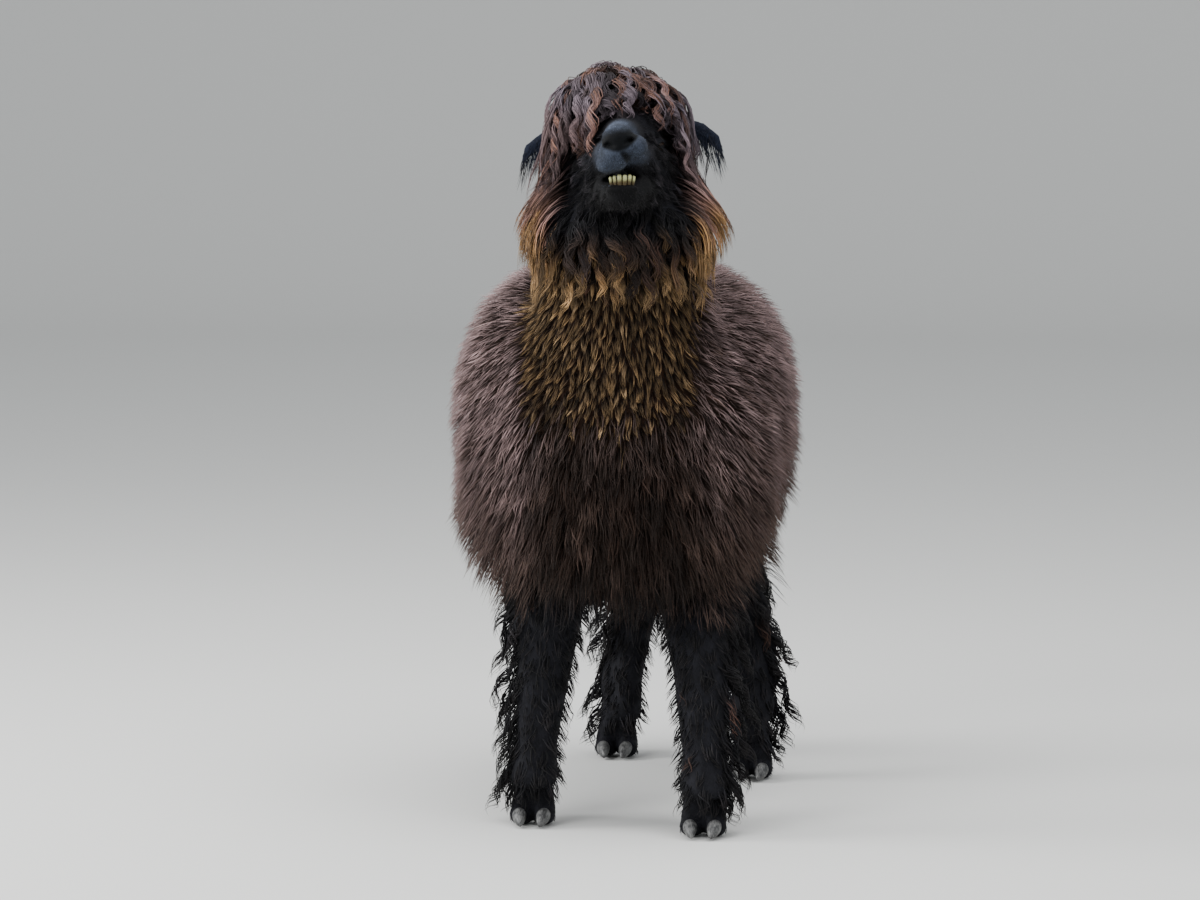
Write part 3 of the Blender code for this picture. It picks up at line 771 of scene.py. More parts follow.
skin.data.calc_loop_triangles()
hide_places = vertex_rows(skin.data, "co")
hide_outward = vertex_rows(skin.data, "normal")
hide_faces = np.empty(len(skin.data.loop_triangles) * 3, np.int32)
skin.data.loop_triangles.foreach_get("vertices", hide_faces)
hide_faces = hide_faces.reshape(-1, 3)
hide_corners = hide_places[hide_faces]
hide_edges = hide_corners[:, 1:] - hide_corners[:, :1]
hide_areas = np.linalg.norm(np.cross(hide_edges[:, 0], hide_edges[:, 1]), axis=1)
hide_middles = hide_corners.mean(axis=1)


def unit(vectors):
    return vectors / np.maximum(np.linalg.norm(vectors, axis=-1, keepdims=True), 1e-9)


hide_ways_out = unit(hide_outward[hide_faces].mean(axis=1))


def ear_share(places):
    """1 on the two ear blades and 0 on the rest of the hide."""
    across, back, up = head_place(places)
    beside = rise(np.abs(across), 0.102, 0.108) * rise(up, 1.165, 1.185)
    return beside * fall(np.abs(back - EAR_ROOT.y), 0.035, 0.045)


def form_of(corners, faces, ways_out):
    """A surface that hair is combed over: its faces, ready to search, and the way out at each."""
    return BVHTree.FromPolygons(corners.tolist(), faces.tolist()), ways_out


on_ear = ear_share(hide_middles) >= 0.5
forms = {
    "body": form_of(hide_places, hide_faces[~on_ear], hide_ways_out[~on_ear]),
    "ears": form_of(hide_places, hide_faces[on_ear], hide_ways_out[on_ear]),
}


def scatter(where, count, draw):
    """Roots over the hide, as many to each face as its area and weight earn, and the ways out there."""
    share = np.cumsum(hide_areas * np.clip(where(hide_middles, hide_ways_out), 0, None))
    picks = (np.arange(count) + draw.random(count)) / count * share[-1]
    face = np.minimum(np.searchsorted(share, picks), len(hide_faces) - 1)
    first, second = draw.random((2, count))
    over = first + second > 1
    first[over], second[over] = 1 - first[over], 1 - second[over]
    mix = np.stack([1 - first - second, first, second], axis=1)[:, :, None]
    places = (hide_corners[face] * mix).sum(axis=1)
    return places, unit((hide_outward[hide_faces[face]] * mix).sum(axis=1))


def above_form(places, form):
    """How high each place is above a form, and the way out there."""
    tree, ways_out = forms[form]
    touch = np.empty_like(places)
    faces = np.empty(len(places), int)
    for row, place in enumerate(places):
        touch[row], _, faces[row], _ = tree.find_nearest(place)
    way_out = ways_out[faces]
    return ((places - touch) * way_out).sum(axis=1), way_out


def combed(roots, outward, lie, length, lift, droop, loft, swell, steps, form):
    """The stations of each hair, and the way out at each. It leaves at a slant and turns to its lie."""
    heading = unit(outward * lift + unit(lie) * (1 - lift))
    sunk = np.minimum(ROOT_SUNK, 0.2 * length)
    here = roots - outward * sunk[:, None]
    start, way_out = above_form(here, form)
    stations = [here]
    ways_out = [way_out]
    for step in range(1, steps + 1):
        here = here + heading * ((length + sunk) / steps)[:, None]
        height, way_out = above_form(here, form)
        wanted = start + (loft - start) * (step / steps) ** swell
        here = here + way_out * np.maximum(wanted - height, 0)[:, None]
        square = (lie * way_out).sum(axis=1)
        held = square if form == "wig" else np.minimum(square, 0)
        near = fall(height, 0.6 * loft, 1.6 * loft + 0.01)
        settling = unit(lie - way_out * (held * near)[:, None])
        heading = unit(here - stations[-1])
        heading = unit(heading * (1 - droop) + settling * droop)
        stations.append(here)
        ways_out.append(way_out)
    return np.stack(stations, axis=1), np.stack(ways_out, axis=1)


def along_of(stations):
    """How far along each hair its stations are, in metres."""
    steps = np.linalg.norm(np.diff(stations, axis=1), axis=2)
    return np.concatenate([np.zeros((len(stations), 1)), np.cumsum(steps, axis=1)], axis=1)


def shortened(stations, kept):
    """Hairs kept up to a share of their length, each its own, with their stations spread out again."""
    count, steps = stations.shape[:2]
    wanted = np.linspace(0, 1, steps)[None, :] * kept[:, None] * (steps - 1)
    before = np.minimum(wanted.astype(int), steps - 2)
    part = (wanted - before)[:, :, None]
    rows = np.arange(count)[:, None]
    return stations[rows, before] * (1 - part) + stations[rows, before + 1] * part


def kept_above(stations, floor_height):
    """How much of each hair comes before it first passes below a height."""
    below = stations[:, :, 2] < floor_height
    last = stations.shape[1] - 1
    return np.where(below.any(axis=1), np.maximum(below.argmax(axis=1) / last, SHORTEST_TRIM), 1.0)


def locks_of(roots, lock_share, draw):
    """Hairs spread evenly to lead a lock each, and for every hair the lock of its nearest leader."""
    uneven = draw.uniform(0.75, 1.0, len(roots))
    leaders = [0]
    gap = np.linalg.norm(roots - roots[0], axis=1)
    while len(leaders) < len(roots) * lock_share:
        leaders.append(int((gap * uneven).argmax()))
        gap = np.minimum(gap, np.linalg.norm(roots - roots[leaders[-1]], axis=1))
    tree = KDTree(len(leaders))
    for row, hair in enumerate(leaders):
        tree.insert(roots[hair], row)
    tree.balance()
    return np.array(leaders), np.array([tree.find(root)[1] for root in roots])


def gathered(stations, leaders, lock, pull, early, draw):
    """Draws the hairs of each lock to its leader, most at their tips."""
    share = np.linspace(0, 1, stations.shape[1])[None, :, None] ** early
    closer = pull * draw.uniform(*PULLS, len(stations))[:, None, None]
    return stations + (stations[leaders][lock] - stations) * np.minimum(closer, 1) * share


def frame_along(stations, ways_out):
    """Across and up for each station, square to the hair."""
    ahead = unit(np.gradient(stations, axis=1))
    across = unit(np.cross(ahead, ways_out) + 1e-6)
    return across, np.cross(across, ahead)


def waved(stations, ways_out, lock, depth, wavelength, draw):
    """Waves each lock as one, in its own phase, from nothing at the root to most at the tip."""
    locks = lock.max() + 1
    far = along_of(stations)
    reach = np.zeros(locks)
    np.maximum.at(reach, lock, far[:, -1])
    finest = STEPS_PER_WAVE * reach / (stations.shape[1] - 1)
    pitch = np.maximum(wavelength * draw.uniform(*WAVE_PITCHES, locks), finest)[lock][:, None]
    phase = draw.uniform(0, 2 * math.pi, locks)[lock][:, None]
    swing = (draw.uniform(*WAVE_DEPTHS, locks)[lock] * depth)[:, None]
    turn = far / pitch * 2 * math.pi + phase
    swing = swing * rise(far, WAVE_STARTS * wavelength, WAVE_FULL * wavelength)
    across, up = frame_along(stations, ways_out)
    swung = stations + across * (np.cos(turn) * swing)[:, :, None]
    return swung + up * (np.sin(turn) * swing * WAVE_ROUNDNESS)[:, :, None]


def unrolled(places, centre, axis):
    """Each root's place when the hide round an axis is rolled out flat: the angle and the way along."""
    offset = places - np.array(centre)
    level = [0, 1, 2]
    level.remove(axis)
    angle = np.arctan2(offset[:, level[0]], offset[:, level[1]] * (-1 if axis == 2 else 1))
    flat = np.stack([angle, offset[:, axis]], axis=1)
    low, high = flat.min(axis=0), flat.max(axis=0)
    return 2 * PATCH + (flat - low) / (high - low) * (1 - 4 * PATCH)


def thin_tufts(name, stations, ways_out, half_width, patch, colours, roll):
    """One mesh of closed three-sided tufts, each with its patch on the OFBake map where its root is."""
    count, steps = stations.shape[:2]
    rings = steps - 1
    verts_each = rings * 3 + 1
    across, up = frame_along(stations, ways_out)
    share = np.arange(rings) / rings
    # Half as wide at the root, full within a fifth of its length, then down to a point
    taper = np.minimum(1, 0.55 + 2.2 * share) * (1 - share**2.2) ** 0.7
    wide = half_width[:, None, None] * taper[None, :, None]
    corner = np.radians([90, 210, 330])[None, :] + roll[:, None]
    spread_across = np.cos(corner)[:, None, :] * wide
    spread_up = np.sin(corner)[:, None, :] * wide * TUFT_FLATNESS
    ring = (
        stations[:, :rings, None, :]
        + across[:, :rings, None, :] * spread_across[..., None]
        + up[:, :rings, None, :] * spread_up[..., None]
    )
    verts = np.concatenate([ring.reshape(count, rings * 3, 3), stations[:, -1:, :]], axis=1)

    # One tuft's faces, and their corners on its patch: the root's cap, the rings, then the tip
    faces_each = [[0, 1, 2]]
    map_each = [(0.0, 0.0), (CAP_SHARE, 0.5), (0.0, 1.0)]
    for r in range(rings):
        near = CAP_SHARE + (1 - CAP_SHARE) * r / rings
        far = CAP_SHARE + (1 - CAP_SHARE) * (r + 1) / rings
        for c in range(3):
            this, after = r * 3 + c, r * 3 + (c + 1) % 3
            if r < rings - 1:
                faces_each.append([this, this + 3, after + 3, after])
                map_each += [(near, c / 3), (far, c / 3), (far, (c + 1) / 3), (near, (c + 1) / 3)]
            else:
                faces_each.append([this, rings * 3, after])
                map_each += [(near, c / 3), (1.0, (c + 0.5) / 3), (near, (c + 1) / 3)]
    loops_each = np.array([vert for face in faces_each for vert in face])
    sizes_each = np.array([len(face) for face in faces_each])
    starts_each = np.concatenate([[0], np.cumsum(sizes_each)[:-1]])

    tuft = np.arange(count)[:, None]
    loops = (loops_each[None, :] + tuft * verts_each).ravel()
    starts = (starts_each[None, :] + tuft * len(loops_each)).ravel()
    places_on_map = patch[:, None, :] + (np.array(map_each)[None, :, :] - 0.5) * PATCH

    mesh = bpy.data.meshes.new(name)
    mesh.vertices.add(count * verts_each)
    mesh.vertices.foreach_set("co", verts.astype(np.float32).ravel())
    mesh.loops.add(len(loops))
    mesh.loops.foreach_set("vertex_index", loops.astype(np.int32))
    mesh.polygons.add(len(starts))
    mesh.polygons.foreach_set("loop_start", starts.astype(np.int32))
    mesh.update(calc_edges=True)
    layer = mesh.uv_layers.new(name="OFBake")
    layer.data.foreach_set("uv", places_on_map.astype(np.float32).ravel())
    made = bpy.data.objects.new(name, mesh)
    bpy.context.scene.collection.objects.link(made)
    shades = np.concatenate([np.repeat(colours[:, :rings], 3, axis=1), colours[:, -1:]], axis=1)
    finished(made, fleece, shades.reshape(-1, 3))
    return made


fleece, shader, wire, place = finish_for("fleece", roughness=0.68, gloss=0.14, sheen=0.02)
tint = tint_of(wire)
strand = wire.add("UVMap", {"uv_map": "OFBake"}, {})
streaks = strand.stretched((500.0, 2600.0, 1.0)).noise(1.0, detail=2.0)
fibre = streaks * 0.75 + place.noise(300.0) * 0.25
feed(shader, "Base Color", fibre.clip(0.38, 0.62).mixed(tint.scaled(0.62), tint.scaled(1.38)))
feed(shader, "Roughness", 0.55 + fibre * 0.3)
feed(shader, "Normal", fibre.bump(0.35, 0.0008))


def over_colours(places):
    """The colour of the body fleece's surface: mauve-brown, darker below, on the left flank darker
    higher up as painted shade, and nearly black on the breast.
    """
    across, back, height = places.T
    # Darker towards the hem; on the left flank, away from the brighter light, higher up as painted shade
    low = fall(height - 0.2 * np.maximum(across, 0), HEM, HEM + 0.38)
    shown = blended(MAUVE, UMBER * 1.2, low)
    middle = fall(np.abs(across - 0.045), 0.10, 0.20)
    ahead = rise(-back, 0.22, 0.38) * fall(height, 0.90, 1.05)
    shown = blended(shown, UMBER * 0.62, ahead * middle * 0.9)
    breast = rise(-back, 0.28, 0.42) * fall(height, 0.62, 0.78) * middle
    shown = blended(shown, DARK_WOOL * 0.95, breast * 0.9)
    return blended(shown, BLACK_WOOL, fall(height, HEM - 0.06, HEM + 0.02))


def at_each(value, *places):
    """A value for each place: one number or colour for them all, or a function worked out there."""
    return value(*places) if callable(value) else np.full((len(places[0]), *np.shape(value)), value)


def hanging(out):
    """A lie straight down that leans out from the hide by a share."""
    return lambda places, outward: DOWN + outward * out


def coat(
    name, slot, where, count, seed, lie, length, width, steps, rolled=((0, 0, 0), 2), form="body",
    lift=0.4, droop=0.4, loft=0.012, swell=0.8, plump=0.0, stir=1.0, lock_share=0.15, pull=0.6,
    early=1.1, wave=(0.0, 0.04), frizz=0.0015, trim=None, ragged=0.012, shortest=0.75,
    tips=over_colours, tip_from=0.3, tip_to=0.9, contrast=0.16, layers=0.0, stray=(DARK_WOOL, 0.0),
):
    """Grows one coat piece of count hairs where the zone allows. length, trim and tips are one value
    for all places or a function of them, rolled is the axis that roots are mapped round, width,
    loft, wave and frizz are in metres, and most of the rest are shares."""
    draw = np.random.default_rng(seed)
    roots, outward = scatter(where, count, draw)
    leaders, lock = locks_of(roots, lock_share, draw)
    under = (draw.random(len(leaders)) * layers)[lock]
    lean = draw.normal(0, LOCK_LEAN * stir, (len(leaders), 3))[lock]
    way = lie(roots, outward) + draw.normal(0, HAIR_LEAN * stir, roots.shape) + lean
    reach = at_each(length, roots, outward) * draw.uniform(*LENGTHS, count)
    height = loft * (1 - UNDER_LOFT * under) + draw.uniform(-plump, plump, count)
    stations, ways_out = combed(roots, outward, way, reach, lift, droop, height, swell, steps, form)
    if trim is not None:
        level = at_each(trim, stations.reshape(-1, 3)).reshape(count, steps + 1)
        level += draw.normal(0, ragged, len(leaders))[lock][:, None]
        level -= FLYAWAY_DROP * (draw.random(count) < FLYAWAYS)[:, None]
        kept = kept_above(stations, level)
        stations, ways_out = shortened(stations, kept), shortened(ways_out, kept)
    stations = gathered(stations, leaders, lock, pull, early, draw)
    kept = draw.uniform(shortest, 1.0, count)
    stations, ways_out = shortened(stations, kept), shortened(ways_out, kept)
    stations = waved(stations, ways_out, lock, *wave, draw)
    loose = np.where(draw.random(count) < FLYAWAYS, FLYAWAY_FRIZZ, 1.0)
    stations = waved(stations, ways_out, np.arange(count), frizz * loose, FRIZZ_WAVE, draw)
    stations[:, :, 2] = np.maximum(stations[:, :, 2], GROUND_GAP)

    flat = stations.reshape(-1, 3)
    share = np.tile(np.linspace(0, 1, steps + 1), count)
    drift = draw.normal(0, ragged, len(leaders))[lock]
    surface = at_each(tips, flat + np.repeat(drift, steps + 1)[:, None] * DOWN)
    strayed = (draw.random(len(leaders)) < stray[1])[lock] * draw.uniform(0.3, 1.0, count)
    surface = blended(surface, stray[0], np.repeat(strayed, steps + 1))
    shades = blended(under_colours(flat), surface, rise(share, tip_from, tip_to))
    tone = draw.normal(0, contrast, len(leaders))[lock] + draw.normal(0, contrast * 0.8, count)
    # Random tone per lock and hair, and painted shade on the locks set lower under the others
    shades = shades.reshape(count, steps + 1, 3) * np.exp(tone - LOWER_LOCK_PAINTED_SHADE * under)[:, None, None]
    patch = unrolled(roots, *rolled)
    widths = width * draw.uniform(*WIDTHS, count)
    roll = draw.uniform(-0.5, 0.5, count)
    made = thin_tufts(name, stations, ways_out, widths, patch, shades, roll)
    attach(made, "root")

# ==== Topknot ====
# The mop of long wavy locks that grows from the crown and falls all round it: over the forehead to
# the bridge of the nose, longer beside it, and down past the ears. Mauve-brown, rusty at the tips.
WIG_MIDDLE = Vector((-0.008, -0.030, 0.0))
WIG_TOP = 1.375
WIG_SIDE = 1.275
WIG_RIM = 0.103
WIG_SQUARE = 0.87
WIG_DEEPER = 1.16
WIG_TURNS = 48
WIG_SKIRT = [(1.245, 0.1040), (1.215, 0.1060), (1.185, 0.1300), (1.150, 0.1560), (1.120, 0.1680)]
WIG_SKIRT += [(1.085, 0.1660), (1.050, 0.1540), (1.020, 0.1410), (0.980, 0.1320), (0.930, 0.1300)]
MOP_END = 1.150
# Where the fringe is cut, from side to side of the head: each place across, and the height there
FRINGE = {
    -0.118: 1.150, -0.112: 1.240, -0.100: 1.256, -0.088: 1.250, -0.080: 1.235, -0.058: 1.235,
    -0.051: 1.288, -0.044: 1.298, 0.008: 1.306, 0.021: 1.318, 0.027: 1.336, 0.046: 1.336,
    0.052: 1.284, 0.065: 1.279, 0.077: 1.288, 0.098: 1.282, 0.106: 1.236, 0.114: 1.150,
}
RUST = colour(122, 88, 74)
MOP_GREY = colour(102, 91, 98)


def middle_at(height):
    """The middle of the hair at a height: off to one side over the crown, and true below the jaw."""
    crown = float(rise(height, 1.13, 1.22))
    return WIG_MIDDLE * crown + Vector((0, WIG_MIDDLE.y, 0)) * (1 - crown)


# The shape the hair drapes over: a dome over the crown and a bell that swells below it, then tucks in
turns = np.linspace(0, 2 * math.pi, WIG_TURNS, endpoint=False)
rings = [
    (WIG_SIDE + (WIG_TOP - WIG_SIDE) * math.cos(a) ** WIG_SQUARE, WIG_RIM * math.sin(a) ** WIG_SQUARE)
    for a in np.linspace(0.03, 1.55, 14)
]
rings += WIG_SKIRT
wig_places = [
    HEAD_AT @ (middle_at(height) + Vector((rim * math.cos(a), rim * WIG_DEEPER * math.sin(a), height)))
    for height, rim in rings
    for a in turns
]
wig_places = np.array(wig_places)
wig_faces = []
for level in range(0, (len(rings) - 1) * WIG_TURNS, WIG_TURNS):
    for turn in range(WIG_TURNS):
        after = (turn + 1) % WIG_TURNS
        below = level + WIG_TURNS
        wig_faces.append([level + turn, below + turn, below + after, level + after])
wig_faces = np.array(wig_faces)
wig_corners = wig_places[wig_faces]
wig_crosses = wig_corners[:, 2:] - wig_corners[:, :2]
wig_ways_out = unit(np.cross(wig_crosses[:, 0], wig_crosses[:, 1]))
forms["wig"] = form_of(wig_places, wig_faces, wig_ways_out)


def away_from(places, behind):
    """Level ways out from an upright line through the head, that far behind the ears' line."""
    across, back, _ = head_place(places)
    flat = np.stack([across, back - behind, np.zeros(len(places))], axis=1)
    turned = flat @ np.array(HEAD_TURN)[:3, :3].T
    return turned / np.maximum(np.linalg.norm(flat, axis=1, keepdims=True), 0.03)


def mop_lie(places, outward):
    ahead = np.array(HEAD_TURN)[:3, :3] @ np.array([0.0, -0.10, 0.0])
    return DOWN + away_from(places, -0.02) * 0.05 + ahead


def fringe_height(places):
    """Where the locks are cut: along the fringe in front of the ears, and low beside and behind."""
    across, back, _ = head_place(places)
    front = np.interp(across, list(FRINGE), list(FRINGE.values()))
    return front + (MOP_END - front) * rise(back, -0.085, -0.045)


def mop_zone(places):
    across, back, up = head_place(places)
    rim = 1.262 + 0.02 * rise(np.abs(across), 0.05, 0.09)
    above_fringe = rise(up - np.minimum(fringe_height(places), 1.304), -0.002, 0.016)
    return rise(up, rim, rim + 0.02) * rise(back, -0.150, -0.125) * above_fringe


def mop_colours(places):
    across, _, up = head_place(places)
    return blended(MOP_GREY, RUST * 0.85, 0.4 * fall(up + 0.3 * across, 1.235, 1.300))


MOP = dict(slot="mauve_fleece", lie=mop_lie, lift=0.45, droop=0.45, swell=0.12, early=0.30, stir=0.35)
MOP |= dict(plump=0.004, trim=fringe_height, tips=mop_colours, tip_from=0.1, tip_to=0.5, form="wig")
coat(
    "topknot_fringe",
    where=lambda places, outward: mop_zone(places) * fall(head_place(places)[1], -0.05, 0.0),
    count=1700, seed=11, length=0.180, width=0.0014, steps=18, loft=0.014, lock_share=0.066, pull=0.95,
    wave=(0.0082, 0.035), frizz=0.0009, shortest=0.78, ragged=0.008, contrast=0.32, layers=1.0,
    stray=(RUST, 0.25), **MOP,
)
coat(
    "topknot_crown",
    where=lambda places, outward: mop_zone(places) * rise(head_place(places)[1], -0.07, 0.0),
    count=1900, seed=12, length=0.185, width=0.0017, steps=9, loft=0.012, lock_share=0.052, pull=0.93,
    wave=(0.0085, 0.045), frizz=0.0010, shortest=0.70, ragged=0.012, contrast=0.30, layers=0.9,
    stray=(RUST, 0.2), **MOP,
)

# ==== Ruff ====
# Long fine straight wool that hangs from the sides and back of the head over the top of the neck,
# flaring like a bell. Mauve at its roots, rust lower down and golden ochre at the hem.
RUFF_TRIM = 1.000
RUFF_MAUVE = colour(142, 116, 114)
OCHRE = colour(152, 116, 72)
SAND = colour(190, 158, 118)


def ruff_zone(places, outward):
    across, back, up = head_place(places)
    beside = rise(np.abs(across), 0.080, 0.105) * rise(back, -0.115, -0.085)
    round_side = np.maximum(beside, rise(back, -0.05, 0.0))
    return (1 - ear_share(places)) * rise(up, 1.03, 1.06) * fall(up, 1.26, 1.29) * round_side


def ruff_colours(places):
    height = places[:, 2] + 0.02 * np.sin(places[:, 0] * 61) * np.sin(places[:, 1] * 47)
    shown = blended(RUFF_MAUVE, RUST * 1.35, 0.8 * fall(height, 1.13, 1.20))
    shown = blended(shown, OCHRE * 1.35, 0.9 * fall(height, 1.08, 1.14))
    return blended(shown, SAND, 0.5 * fall(height, 1.01, 1.09))


coat(
    "ruff", "mauve_fleece", ruff_zone, count=4300, seed=13, length=0.135, width=0.0017, steps=5,
    lie=lambda places, outward: DOWN + away_from(places, 0.0) * 0.03, form="wig", lift=0.40, droop=0.42,
    loft=0.012, swell=0.5, stir=0.5, lock_share=0.10, pull=0.62, wave=(0.0036, 0.060), trim=RUFF_TRIM,
    ragged=0.020, tips=ruff_colours, tip_from=0.05, tip_to=0.5, contrast=0.24, layers=0.5,
    stray=(UMBER * 0.6, 0.25),
)

# ==== Cheek and throat wool ====
# Short springy curls of black-brown wool that grow close round the bare muzzle, over the cheeks and
# under the jaw, shortest towards the muzzle and at the brow.
SOOT = colour(54, 50, 54)


def cheek_zone(places, outward):
    across, back, up = head_place(places)
    bare = rise(-back, 0.165, 0.185) * rise(up, 1.172, 1.186)
    beside = np.maximum(rise(np.abs(across), 0.030, 0.045), fall(up, 1.15, 1.17))
    front = rise(-back, -0.01, 0.03)
    return front * beside * (1 - bare) * rise(up, 1.04, 1.07) * fall(up, 1.34, 1.36)


def cheek_length(places, outward):
    _, back, up = head_place(places)
    return 0.034 - 0.020 * np.maximum(rise(-back, 0.15, 0.20), rise(up, 1.25, 1.28))


coat(
    "cheek_wool", "black_fleece", cheek_zone, count=2400, seed=14, length=cheek_length, width=0.0010,
    lie=lambda places, outward: DOWN * 0.8 + REARWARD * 0.15 + outward * 0.5, steps=6, lift=0.6,
    loft=0.012, lock_share=0.09, pull=0.85, early=0.7, wave=(0.0040, 0.019), contrast=0.45, layers=0.5,
    tips=lambda places: blended(SOOT, SOOT * 0.35, fall(head_place(places)[2], 1.13, 1.18)),
    tip_from=0.4, tip_to=1.0,
)

# ==== Beard ====
# Wavy locks of longer wool that grow from the throat and hang over the front of the neck, dark above
# with blond tips, cut in a shallow point at the middle.
BEARD_BROWN = colour(70, 56, 50)


def beard_zone(places, outward):
    across, back, up = head_place(places)
    front = rise(-back, 0.02, 0.06) * fall(-back, 0.15, 0.18)
    front *= fall(np.abs(across), 0.12, 0.15)
    return front * rise(up, 1.00, 1.03) * fall(up, 1.12, 1.15)


def beard_colours(places):
    across, _, up = head_place(places)
    height = up - 0.25 * np.abs(across)
    shown = blended(BEARD_BROWN, SOOT * 0.4, rise(height, 1.055, 1.100))
    shown = blended(shown, OCHRE, fall(height, 0.975, 1.050))
    return blended(shown, SAND, 0.5 * fall(height, 0.970, 1.015))


coat(
    "beard", "black_fleece", beard_zone, count=1800, seed=15, lie=hanging(0.25), length=0.115,
    width=0.0014, steps=9, lift=0.45, droop=0.35, loft=0.042, plump=0.004, lock_share=0.050, pull=0.94,
    early=0.5, wave=(0.0085, 0.048), frizz=0.0010, shortest=0.55, ragged=0.030, tips=beard_colours,
    trim=lambda places: 0.964 + 0.30 * np.abs(head_place(places)[0]), contrast=0.28, layers=0.8,
    stray=(RUST * 0.6, 0.2),
)

# ==== Ear hair ====
# Fine straight black hair, one coat to each ear, that grows from the blade, longest on its underside,
# and hangs below it, so that the blade is hidden.
for side, sign in SIDES.items():
    coat(
        f"ear_hair_{side}", "black_fleece", count=1300, seed=16, width=0.0007, steps=4, form="ears",
        where=lambda places, outward: ear_share(places) * (head_place(places)[0] * sign > 0),
        lie=lambda places, outward: DOWN + np.array([0.34 * sign, -0.03, 0.0]) + outward * 0.1,
        length=lambda places, outward: 0.014 + 0.062 * rise(-outward[:, 2], -0.2, 0.7),
        rolled=((0, 0, 0), 0), lift=0.2, droop=0.55, loft=0.002, lock_share=0.10, pull=0.60,
        wave=(0.0030, 0.045), shortest=0.55, tips=EAR_BLACK * 1.5, contrast=0.3,
    )

# ==== Face fur ====
# Velvet that lies back from the nose over the bridge, lips and jaw, in the shortest tufts of all, a
# little longer on the jaw and towards the cheeks.
def velvet_zone(places, outward):
    _, back, up = muzzle_place(places)
    leather = rise(-back, 0.240, 0.250) * rise(up, -0.004, 0.004) * fall(up, 0.030, 0.042)
    _, back, up = head_place(places)
    front = rise(-back, 0.10, 0.14) * rise(up, 1.11, 1.13) * fall(up, 1.32, 1.33)
    return front * (1 - leather)


def jaw_share(places):
    return fall(head_place(places)[2], 1.185, 1.200)


def velvet_length(places, outward):
    behind = rise(head_place(places)[1], -0.235, -0.150)
    return 0.0045 + 0.005 * jaw_share(places) + 0.010 * behind


coat(
    "face_velvet", "face_fur", velvet_zone, count=4300, seed=17, length=velvet_length, width=0.0008,
    lie=lambda places, outward: REARWARD * 0.8 + DOWN * 0.45 + outward * 0.25, steps=2,
    rolled=((0, 0, 1.22), 2), lift=0.2, loft=0.0012, lock_share=0.3, pull=0.2, frizz=0.0002,
    # Tips paler than the hide below, carrying its painted sheen, highlight and shade
    tips=lambda places: blended(under_colours(places) * 1.5, SOOT, 0.3 * jaw_share(places)),
    contrast=0.4,
)

# ==== Neck wool ====
# Short pointed locks that hang like shingles down the front and sides of the neck, dark at the roots
# with ochre tips.
NECK_MIDDLE = 0.02
NECK_OCHRE = colour(144, 116, 80)


def neck_share(places):
    across, back, height = places.T
    column = fall(np.abs(across - NECK_MIDDLE), 0.128, 0.150)
    return column * rise(height, 0.69, 0.80) * fall(back, -0.19, -0.12)


def neck_colours(places):
    aside = np.abs(places[:, 0] - NECK_MIDDLE)
    return blended(NECK_OCHRE, DARK_WOOL * 1.3, fall(places[:, 2] - 0.5 * aside, 0.66, 0.78))


coat(
    "neck_wool", "ochre_fleece", count=6500, seed=21, lie=hanging(0.22), length=0.042, width=0.0014,
    where=lambda places, outward: neck_share(places) * fall(places[:, 2], 1.05, 1.08), steps=3,
    rolled=((NECK_MIDDLE, -0.30, 0), 2), lift=0.45, droop=0.45, loft=0.030, lock_share=0.16, pull=0.92,
    wave=(0.0035, 0.04), tips=neck_colours, tip_from=0.4, tip_to=1.0, contrast=0.25, layers=0.6,
    stray=(SAND, 0.18),
)

# ==== Body fleece ====
# The deep wool of the trunk, one piece to each side of it: fine tufts that stand a little off the
# body and overlap down to the hem, longer on the breast and towards the hem.
TRUNK = {
    # Each side's way out, its count, its steps, the axis its map is rolled round, and its loft
    "left": ((1.0, 0.0, 0.0), 6700, 3, ((0, 0, 0.7), 1), 0.060),
    "right": ((-1.0, 0.0, 0.0), 6700, 3, ((0, 0, 0.7), 1), 0.040),
    "breast": ((0.0, -1.1, 0.0), 4700, 4, ((0, -0.2, 0), 2), 0.032),
    "rump": ((0.0, 1.1, 0.0), 3400, 3, ((0, 0.3, 0), 2), 0.032),
    "back": ((0.0, 0.0, 1.0), 4300, 3, ((0, 0, 0.7), 1), 0.048),
    "belly": ((0.0, 0.0, -1.1), 1500, 3, ((0, 0, 0.7), 1), 0.024),
}
FACINGS = np.array([facts[0] for facts in TRUNK.values()])


def facing_share(outward, number):
    """How far a stretch of hide belongs to one side of the trunk: all the sides' shares make 1."""
    pulls = np.exp(6 * (outward @ FACINGS.T))
    return pulls[:, number] / pulls.sum(axis=1)


def trunk_share(places):
    below_neck = (1 - neck_share(places)) * fall(places[:, 2], 1.00, 1.05)
    return below_neck * rise(places[:, 2], HEM - 0.02, HEM + 0.03)


def body_lie(places, outward):
    return DOWN + REARWARD * 0.12 + outward * 0.35


def body_length(places, outward):
    low = fall(places[:, 2], HEM + 0.05, HEM + 0.30)
    ahead = rise(-places[:, 1], 0.25, 0.40)
    return 0.052 + 0.040 * low + 0.030 * ahead * fall(places[:, 2], 0.72, 0.90)


for number, (facing, (_, count, steps, rolled, loft)) in enumerate(TRUNK.items()):
    coat(
        f"fleece_{facing}", "mauve_fleece", count=count, seed=31 + number, lie=body_lie,
        where=lambda places, outward: trunk_share(places) * facing_share(outward, number),
        length=body_length, width=0.0014, steps=steps, rolled=rolled, lift=0.50, droop=0.38, loft=loft,
        swell=0.6, lock_share=0.12, pull=0.42, wave=(0.0030, 0.06), frizz=0.0034, trim=HEM + 0.004,
        ragged=0.028, contrast=0.20, layers=0.30, stray=(UMBER * 1.2, 0.12),
    )

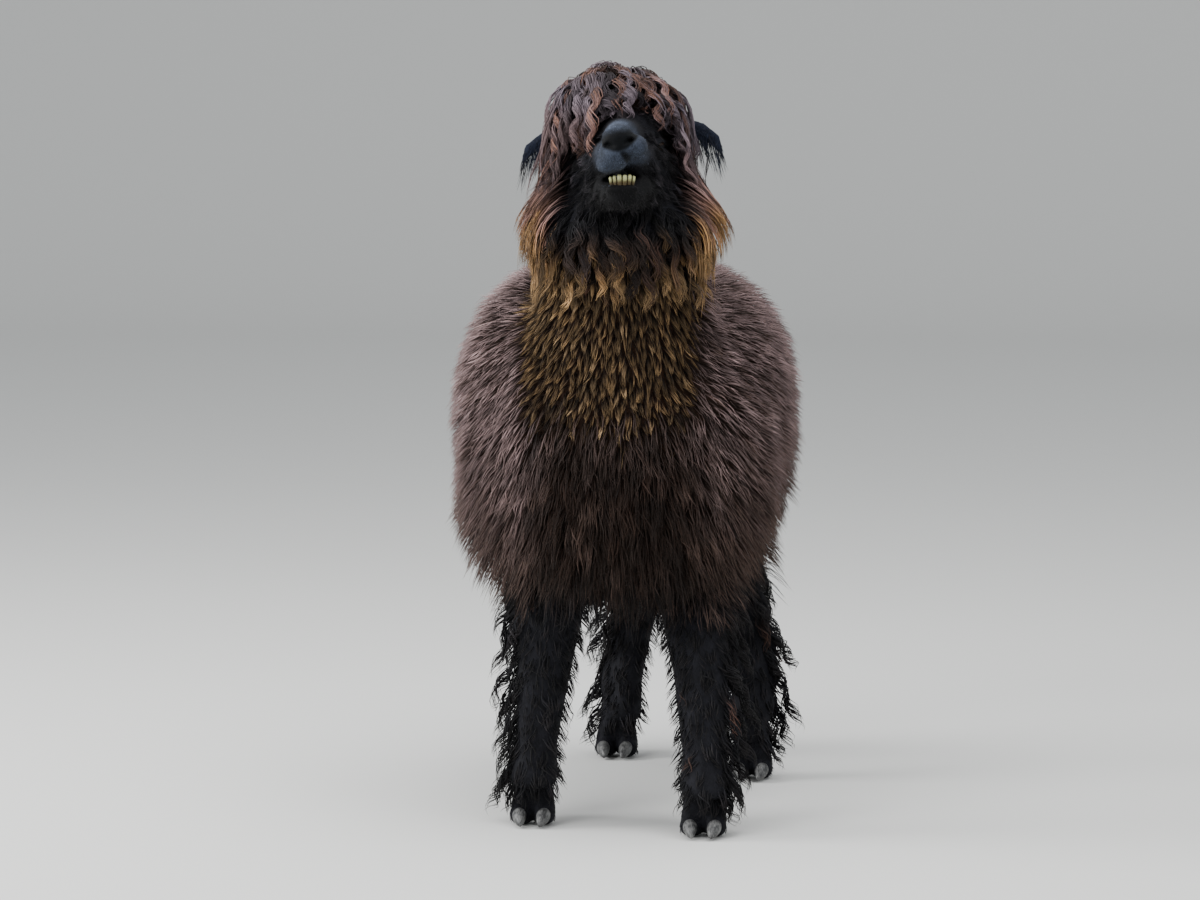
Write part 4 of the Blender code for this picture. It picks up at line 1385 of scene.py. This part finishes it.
# ==== Leg wool ====
# Short black curls, dense and close, all round the four legs from the feet to the hem of the fleece.
# They grow from the legs' hide, and the longer leg locks hang over them.
LEG_EDGE = Vector((0.01, 0.01, 0.0))
LEG_UPPER = Vector((0.01, 0.01, 0.06))


def box_rise(places, low, high, edge):
    """1 inside a box and 0 outside, soft over its edge."""
    inside = np.ones(len(places))
    for axis in range(3):
        inside *= rise(places[:, axis], low[axis] - edge / 2, low[axis] + edge / 2)
        inside *= fall(places[:, axis], high[axis] - edge / 2, high[axis] + edge / 2)
    return inside


def leg_zone(places, end, side):
    low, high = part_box(f"{end}leg_{side}")
    return box_rise(places, low - LEG_EDGE, high + LEG_UPPER, 0.02)


coat(
    "leg_wool", "black_fleece", count=5600, seed=40, lie=hanging(0.3), length=0.036, width=0.0016,
    where=lambda places, outward: sum(leg_zone(places, end, side) for end in ENDS for side in SIDES),
    steps=3, lift=0.4, loft=0.011, lock_share=0.10, pull=0.75, wave=(0.0040, 0.03), frizz=0.0022,
    trim=0.020, tips=colour(32, 28, 28), contrast=0.35, layers=0.5,
)

# ==== Leg locks ====
# Long curling black locks of fleece, a coat to each leg, that hang from its outer and hind sides over
# the leg wool, a few of them rusty.
def outer_share(outward):
    """1 where a leg's hide faces out or back, and 0 where it faces in or ahead."""
    return rise(outward[:, 0] * sign + outward[:, 1] * 0.8, 0.1, 0.8)


for number, (end, side) in enumerate((end, side) for end in ENDS for side in SIDES):
    low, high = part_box(f"{end}leg_{side}")
    sign = SIDES[side]
    coat(
        f"{end}leg_locks_{side}", "black_fleece", count=750 if end == "fore" else 700, seed=41 + number,
        where=lambda places, outward: leg_zone(places, end, side) * (0.12 + outer_share(outward)),
        lie=lambda places, outward: DOWN + outward * (0.12 + 0.20 * outer_share(outward))[:, None],
        length=lambda places, outward: 0.055 + 0.060 * outer_share(outward), width=0.0019, steps=10,
        rolled=(((low.x + high.x) / 2, (low.y + high.y) / 2, 0), 2), lift=0.35, droop=0.40, loft=0.022,
        lock_share=0.075, pull=0.95, early=0.5, wave=(0.0120, 0.042), frizz=0.0008, shortest=0.7,
        trim=0.022, tips=colour(30, 27, 28), contrast=0.3, layers=0.6, stray=(RUST * 0.6, 0.08),
    )

# ==== Tail wool ====
# The short tail hangs against the rump, hidden in a brush of long straight umber locks that grow
# from it all round.
low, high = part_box("tail")
coat(
    "tail_wool", "mauve_fleece", count=1100, seed=51, lie=hanging(0.2), length=0.075, width=0.0020,
    where=lambda places, outward: box_rise(places, low + Vector((0, 0.05, 0)), high, 0.02), steps=3,
    rolled=(((low.x + high.x) / 2, 0.5, 0), 2), lift=0.4, loft=0.02, lock_share=0.1, pull=0.7,
    trim=low.z, tips=UMBER,
)

# ==== Foot fur ====
# Close black fur that grows over the pasterns and toes of all four feet, down to the nails, in short
# tufts that hang nearly flat on the hide.
coat(
    "foot_fur", "face_fur", count=2000, seed=61, lie=hanging(0.15), length=0.010, width=0.0009,
    where=lambda places, outward: rise(places[:, 2], 0.006, 0.012) * fall(places[:, 2], 0.085, 0.10),
    steps=2, lift=0.3, loft=0.002, frizz=0.0003, tips=BLACK_WOOL,
)
